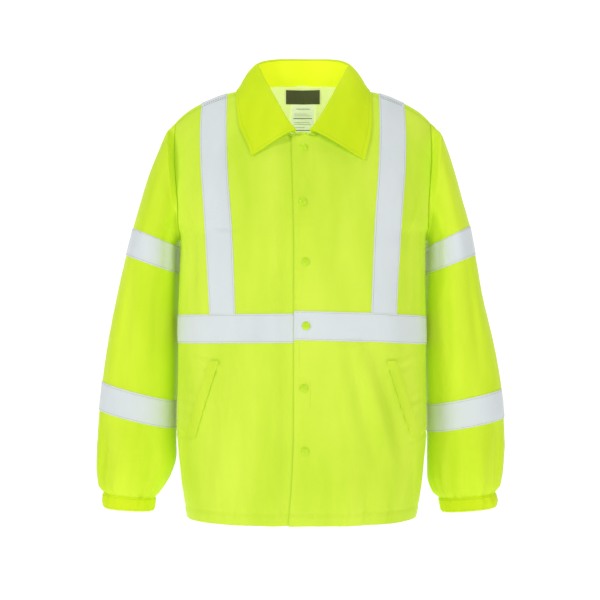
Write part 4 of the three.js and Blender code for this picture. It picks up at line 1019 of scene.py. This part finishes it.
def label(name, size, colour, thickness):
    down, across = np.meshgrid(np.linspace(1, 0, 25), np.linspace(-0.5, 0.5, 37), indexing="ij")
    weave = np.stack([across * size[0], (1 - down) * size[1]], -1)
    grids, under = [(*label_place(size, across, down), weave, False)], ["lining_back_cloth"]
    cloth_piece(name, name, grids, colour, thickness, LABEL_LIFT)


label("neck_label", NECK_LABEL, DARK_LABEL, NECK_LABEL_CLOTH)
label("care_label", CARE_LABEL, WHITE_LABEL, CARE_LABEL_CLOTH)

# Snaps
radius, height = np.array(PROFILE).T
turn = np.arange(SNAP_SIDES)[:, None] / SNAP_SIDES * 2 * np.pi
for number, point, normal in zip(range(1, 7), *on_face(FRONT, *np.array(SNAPS, float).T)):
    first = unit(np.cross([1, 0, 0], normal))
    spoke = np.cos(turn) * first + np.sin(turn) * np.cross(normal, first)
    lift = SNAP_CLEAR + (TAPE_LIFT if number == TAPED_SNAP else 0)
    foot = point + normal * (lift + SNAP_HEIGHT * height)[:, None]
    points = foot[:, None] + SNAP_RADIUS * radius[:, None, None] * spoke
    cells = grid_cells(len(PROFILE), SNAP_SIDES, closed=True)[:, ::-1]
    made = make_mesh(f"snap_{number}_dome", points.reshape(-1, 3), cells, SNAP_COLOUR)
    placed(made, "snap", f"snap_{number}")


def stitches(name, slot, paths, colour, length=2.6, pitch=3.4, half_width=0.28, height=0.32):
    """Short raised threads along paths of places"""
    stations = ((-0.5, 0.35, 0.0), (-0.3, 1.0, 1.0), (0.3, 1.0, 1.0), (0.5, 0.35, 0.0))
    points, cells, count = [], [], 0
    for path, normal in paths:
        run = np.concatenate([[0], np.cumsum(np.linalg.norm(np.diff(path, axis=0), axis=1))])
        at = np.arange(pitch / 2, run[-1] - pitch / 2, pitch)
        middle, ahead, facing = (
            np.stack([np.interp(where, run, values[:, k]) for k in range(3)], 1)
            for where, values in ((at, path), (at + 1, path), (at, normal))
        )
        facing, way = unit(facing), unit(ahead - middle)
        across = np.cross(facing, way)
        thread = []
        for forward, wide, tall in stations:
            foot = middle + way * (forward * length)
            for side, rise in ((-1, 0.0), (0, tall), (1, 0.0)):
                edge = foot + across * (side * half_width * wide)
                thread.append(edge + facing * (0.05 + height * rise))
        points.append(np.stack(thread, 1).reshape(-1, 3))
        first = np.arange(len(at))[:, None, None] * len(thread)
        cells.append((first + grid_cells(len(stations), 3)).reshape(-1, 4) + count)
        count += len(at) * len(thread)
    placed(make_mesh(name, np.concatenate(points), np.concatenate(cells), colour), slot)


def lifted(place, lift):
    return place[0] + place[1] * lift, place[1]


def between(values, low, high):
    return values[(values > low) & (values < high)]


long_rows, long_columns = np.linspace(0.1, 21.9, 900), np.linspace(0.05, 12.95, 400)
all_round = np.linspace(0, 1, 361)
strap_rows = between(long_rows, TAPE_HIGH + 0.03, LAST_ROW)
seam_row = LAST_ROW - SEAM_STITCH_ROWS
tape_inset, strap_inset = TAPE_STITCH / TAPE_WIDTH, TAPE_STITCH / 23.5
body_paths, tape_paths, shoulder_paths = [], [], []
for side in (RIGHT, LEFT):
    for face in (FRONT, BACK):
        body_paths.append(panel(face, side, HEM_STITCH / ROW_SIZE, long_columns))
        for low, high in ((3, STRAP_START), (STRAP_END, LAST_COLUMN)):
            body_paths.append(panel(face, side, seam_row, between(long_columns, low, high)))
        for column in (STRAP_START + strap_inset, STRAP_END - strap_inset):
            tape_paths.append(lifted(panel(face, side, strap_rows, column), TAPE_LIFT))
        for row in (TAPE_LOW + tape_inset, TAPE_HIGH - tape_inset):
            tape_paths.append(lifted(panel(face, side, row, long_columns), TAPE_LIFT))
        on_strap = between(long_columns, STRAP_START + 0.05, STRAP_END - 0.05)
        shoulder_paths.append(lifted(panel(face, side, seam_row, on_strap), TAPE_LIFT))
    for ring in (UPPER_TAPE_RING, LOWER_TAPE_RING):
        for line in (ring + tape_inset, ring + 1 - tape_inset):
            tape_paths.append(lifted(sleeve(side, line, all_round), TAPE_LIFT))
    for ring in (CUFF_RING + CUFF_STITCH_RINGS, LAST_RING - CUFF_STITCH_RINGS):
        body_paths.append(sleeve(side, ring, all_round))
# The lap's edge, and a short line beside it below the waist tape
for low, high, in_from_edge in ((0, CORNER_ROW - 0.8, EDGE_STITCH), (5.1, 6.35, 17)):
    rows = between(long_rows, low, high)
    body_paths.append(panel(FRONT, LEFT, rows, in_from_edge / COLUMN_SIZE))
stitches("shell_stitches", "shell", body_paths, THREAD)
stitches("tape_stitches", "tape", tape_paths, TAPE_THREAD)
stitches("shoulder_stitches", "tape", shoulder_paths, SEAM_THREAD, 3.0, 4.4, 0.45)

# Plain rules on the care label: thin bars without words
bars = []
for down, start, end, thick in RULES:
    half = thick / CARE_LABEL[1] / 2
    point, normal = label_place(CARE_LABEL, *np.meshgrid((start, end), (down - half, down + half)))
    point = point + normal * (LABEL_LIFT - CARE_LABEL_CLOTH - RULE_LIFT)
    bars.append(point.reshape(-1, 3))
cells = np.arange(len(RULES))[:, None] * 4 + grid_cells(2, 2)
placed(make_mesh("care_label_rules", np.concatenate(bars), cells, DARK_LABEL), "care_label")

# Collar stitches, inside its edge and its ends
top_side, top_normals = collar_rows - collar_normals * COLLAR_CLOTH, -collar_normals
edge_row = int(np.argmin(np.abs(to_edge[:, 0] - COLLAR_STITCH)))
left_end = int(np.argmin(np.abs(to_end[-8, : to_end.shape[1] // 2] - COLLAR_STITCH)))
leaf_rows = slice(int(np.argmax(lengths > LEAF_START + 3)), edge_row + 1)
lines = [(edge_row, slice(left_end, -left_end)), (leaf_rows, left_end), (leaf_rows, -1 - left_end)]
collar_paths = [(top_side[line], top_normals[line]) for line in lines]
stitches("collar_stitches", "shell", collar_paths, THREAD)

# The floor and a backdrop that curves up behind
FLOOR, BACKDROP, BEND, BACKDROP_TOP, HALF_STAGE = -1450, 3200, 1200, 4200, 7000
profile = [(-6000, FLOOR), (BACKDROP, FLOOR)]
for a in np.linspace(0, np.pi / 2, 25)[1:]:
    profile.append((BACKDROP + BEND * np.sin(a), FLOOR + BEND * (1 - np.cos(a))))
profile.append((BACKDROP + BEND, BACKDROP_TOP))
stage_points = np.array([(x, y, z) for y, z in profile for x in (-HALF_STAGE, HALF_STAGE)], float)
floor_colour, floor_tree, floor_shader = material("floor")
floor_noise = node(floor_tree, "TexNoise", {"Scale": 2.0, "Detail": 2.0}, "Fac")
wire(floor_tree, floor_shader, {
    "Base Color": ramp(floor_tree, floor_noise, (0.90, 0.90, 0.90), (0.93, 0.93, 0.93)),
    "Roughness": 0.9,
    "Emission Color": (1, 1, 1, 1),
    "Emission Strength": 0.5,
})
make_mesh("floor", stage_points, grid_cells(len(profile), 2), floor_colour)


def area_light(name, place, size, power):
    """A light that faces the middle of the jacket"""
    data = bpy.data.lights.new(name, "AREA")
    data.shape = "RECTANGLE"
    data.size, data.size_y = size
    data.energy = power
    made = bpy.data.objects.new(name, data)
    made.location = place
    target = Vector((0, 0, -0.4))
    made.rotation_euler = (target - Vector(place)).to_track_quat("-Z", "Y").to_euler()
    bpy.context.scene.collection.objects.link(made)


area_light("key", (-2.6, -2.3, 1.4), (1.1, 1.1), 39)
area_light("fill", (2.0, -3.2, 0.9), (1.6, 1.6), 32)
area_light("top", (0, 0.1, 2.2), (1.6, 1.2), 15)

world = bpy.data.worlds.new("studio")
world.use_nodes = True
world.node_tree.nodes["Background"].inputs["Color"].default_value = (1, 1, 1, 1)
world.node_tree.nodes["Background"].inputs["Strength"].default_value = 0.33
bpy.context.scene.world = world
bpy.context.scene.view_settings.view_transform = "Standard"

camera_data = bpy.data.cameras.new("camera")
camera_data.sensor_width = 36
camera_data.lens = 77.7
camera = bpy.data.objects.new("camera", camera_data)
camera.location = (-0.0055, -2.4, -0.391)
camera.rotation_euler = (np.pi / 2, 0, 0)
bpy.context.scene.collection.objects.link(camera)
bpy.context.scene.camera = camera
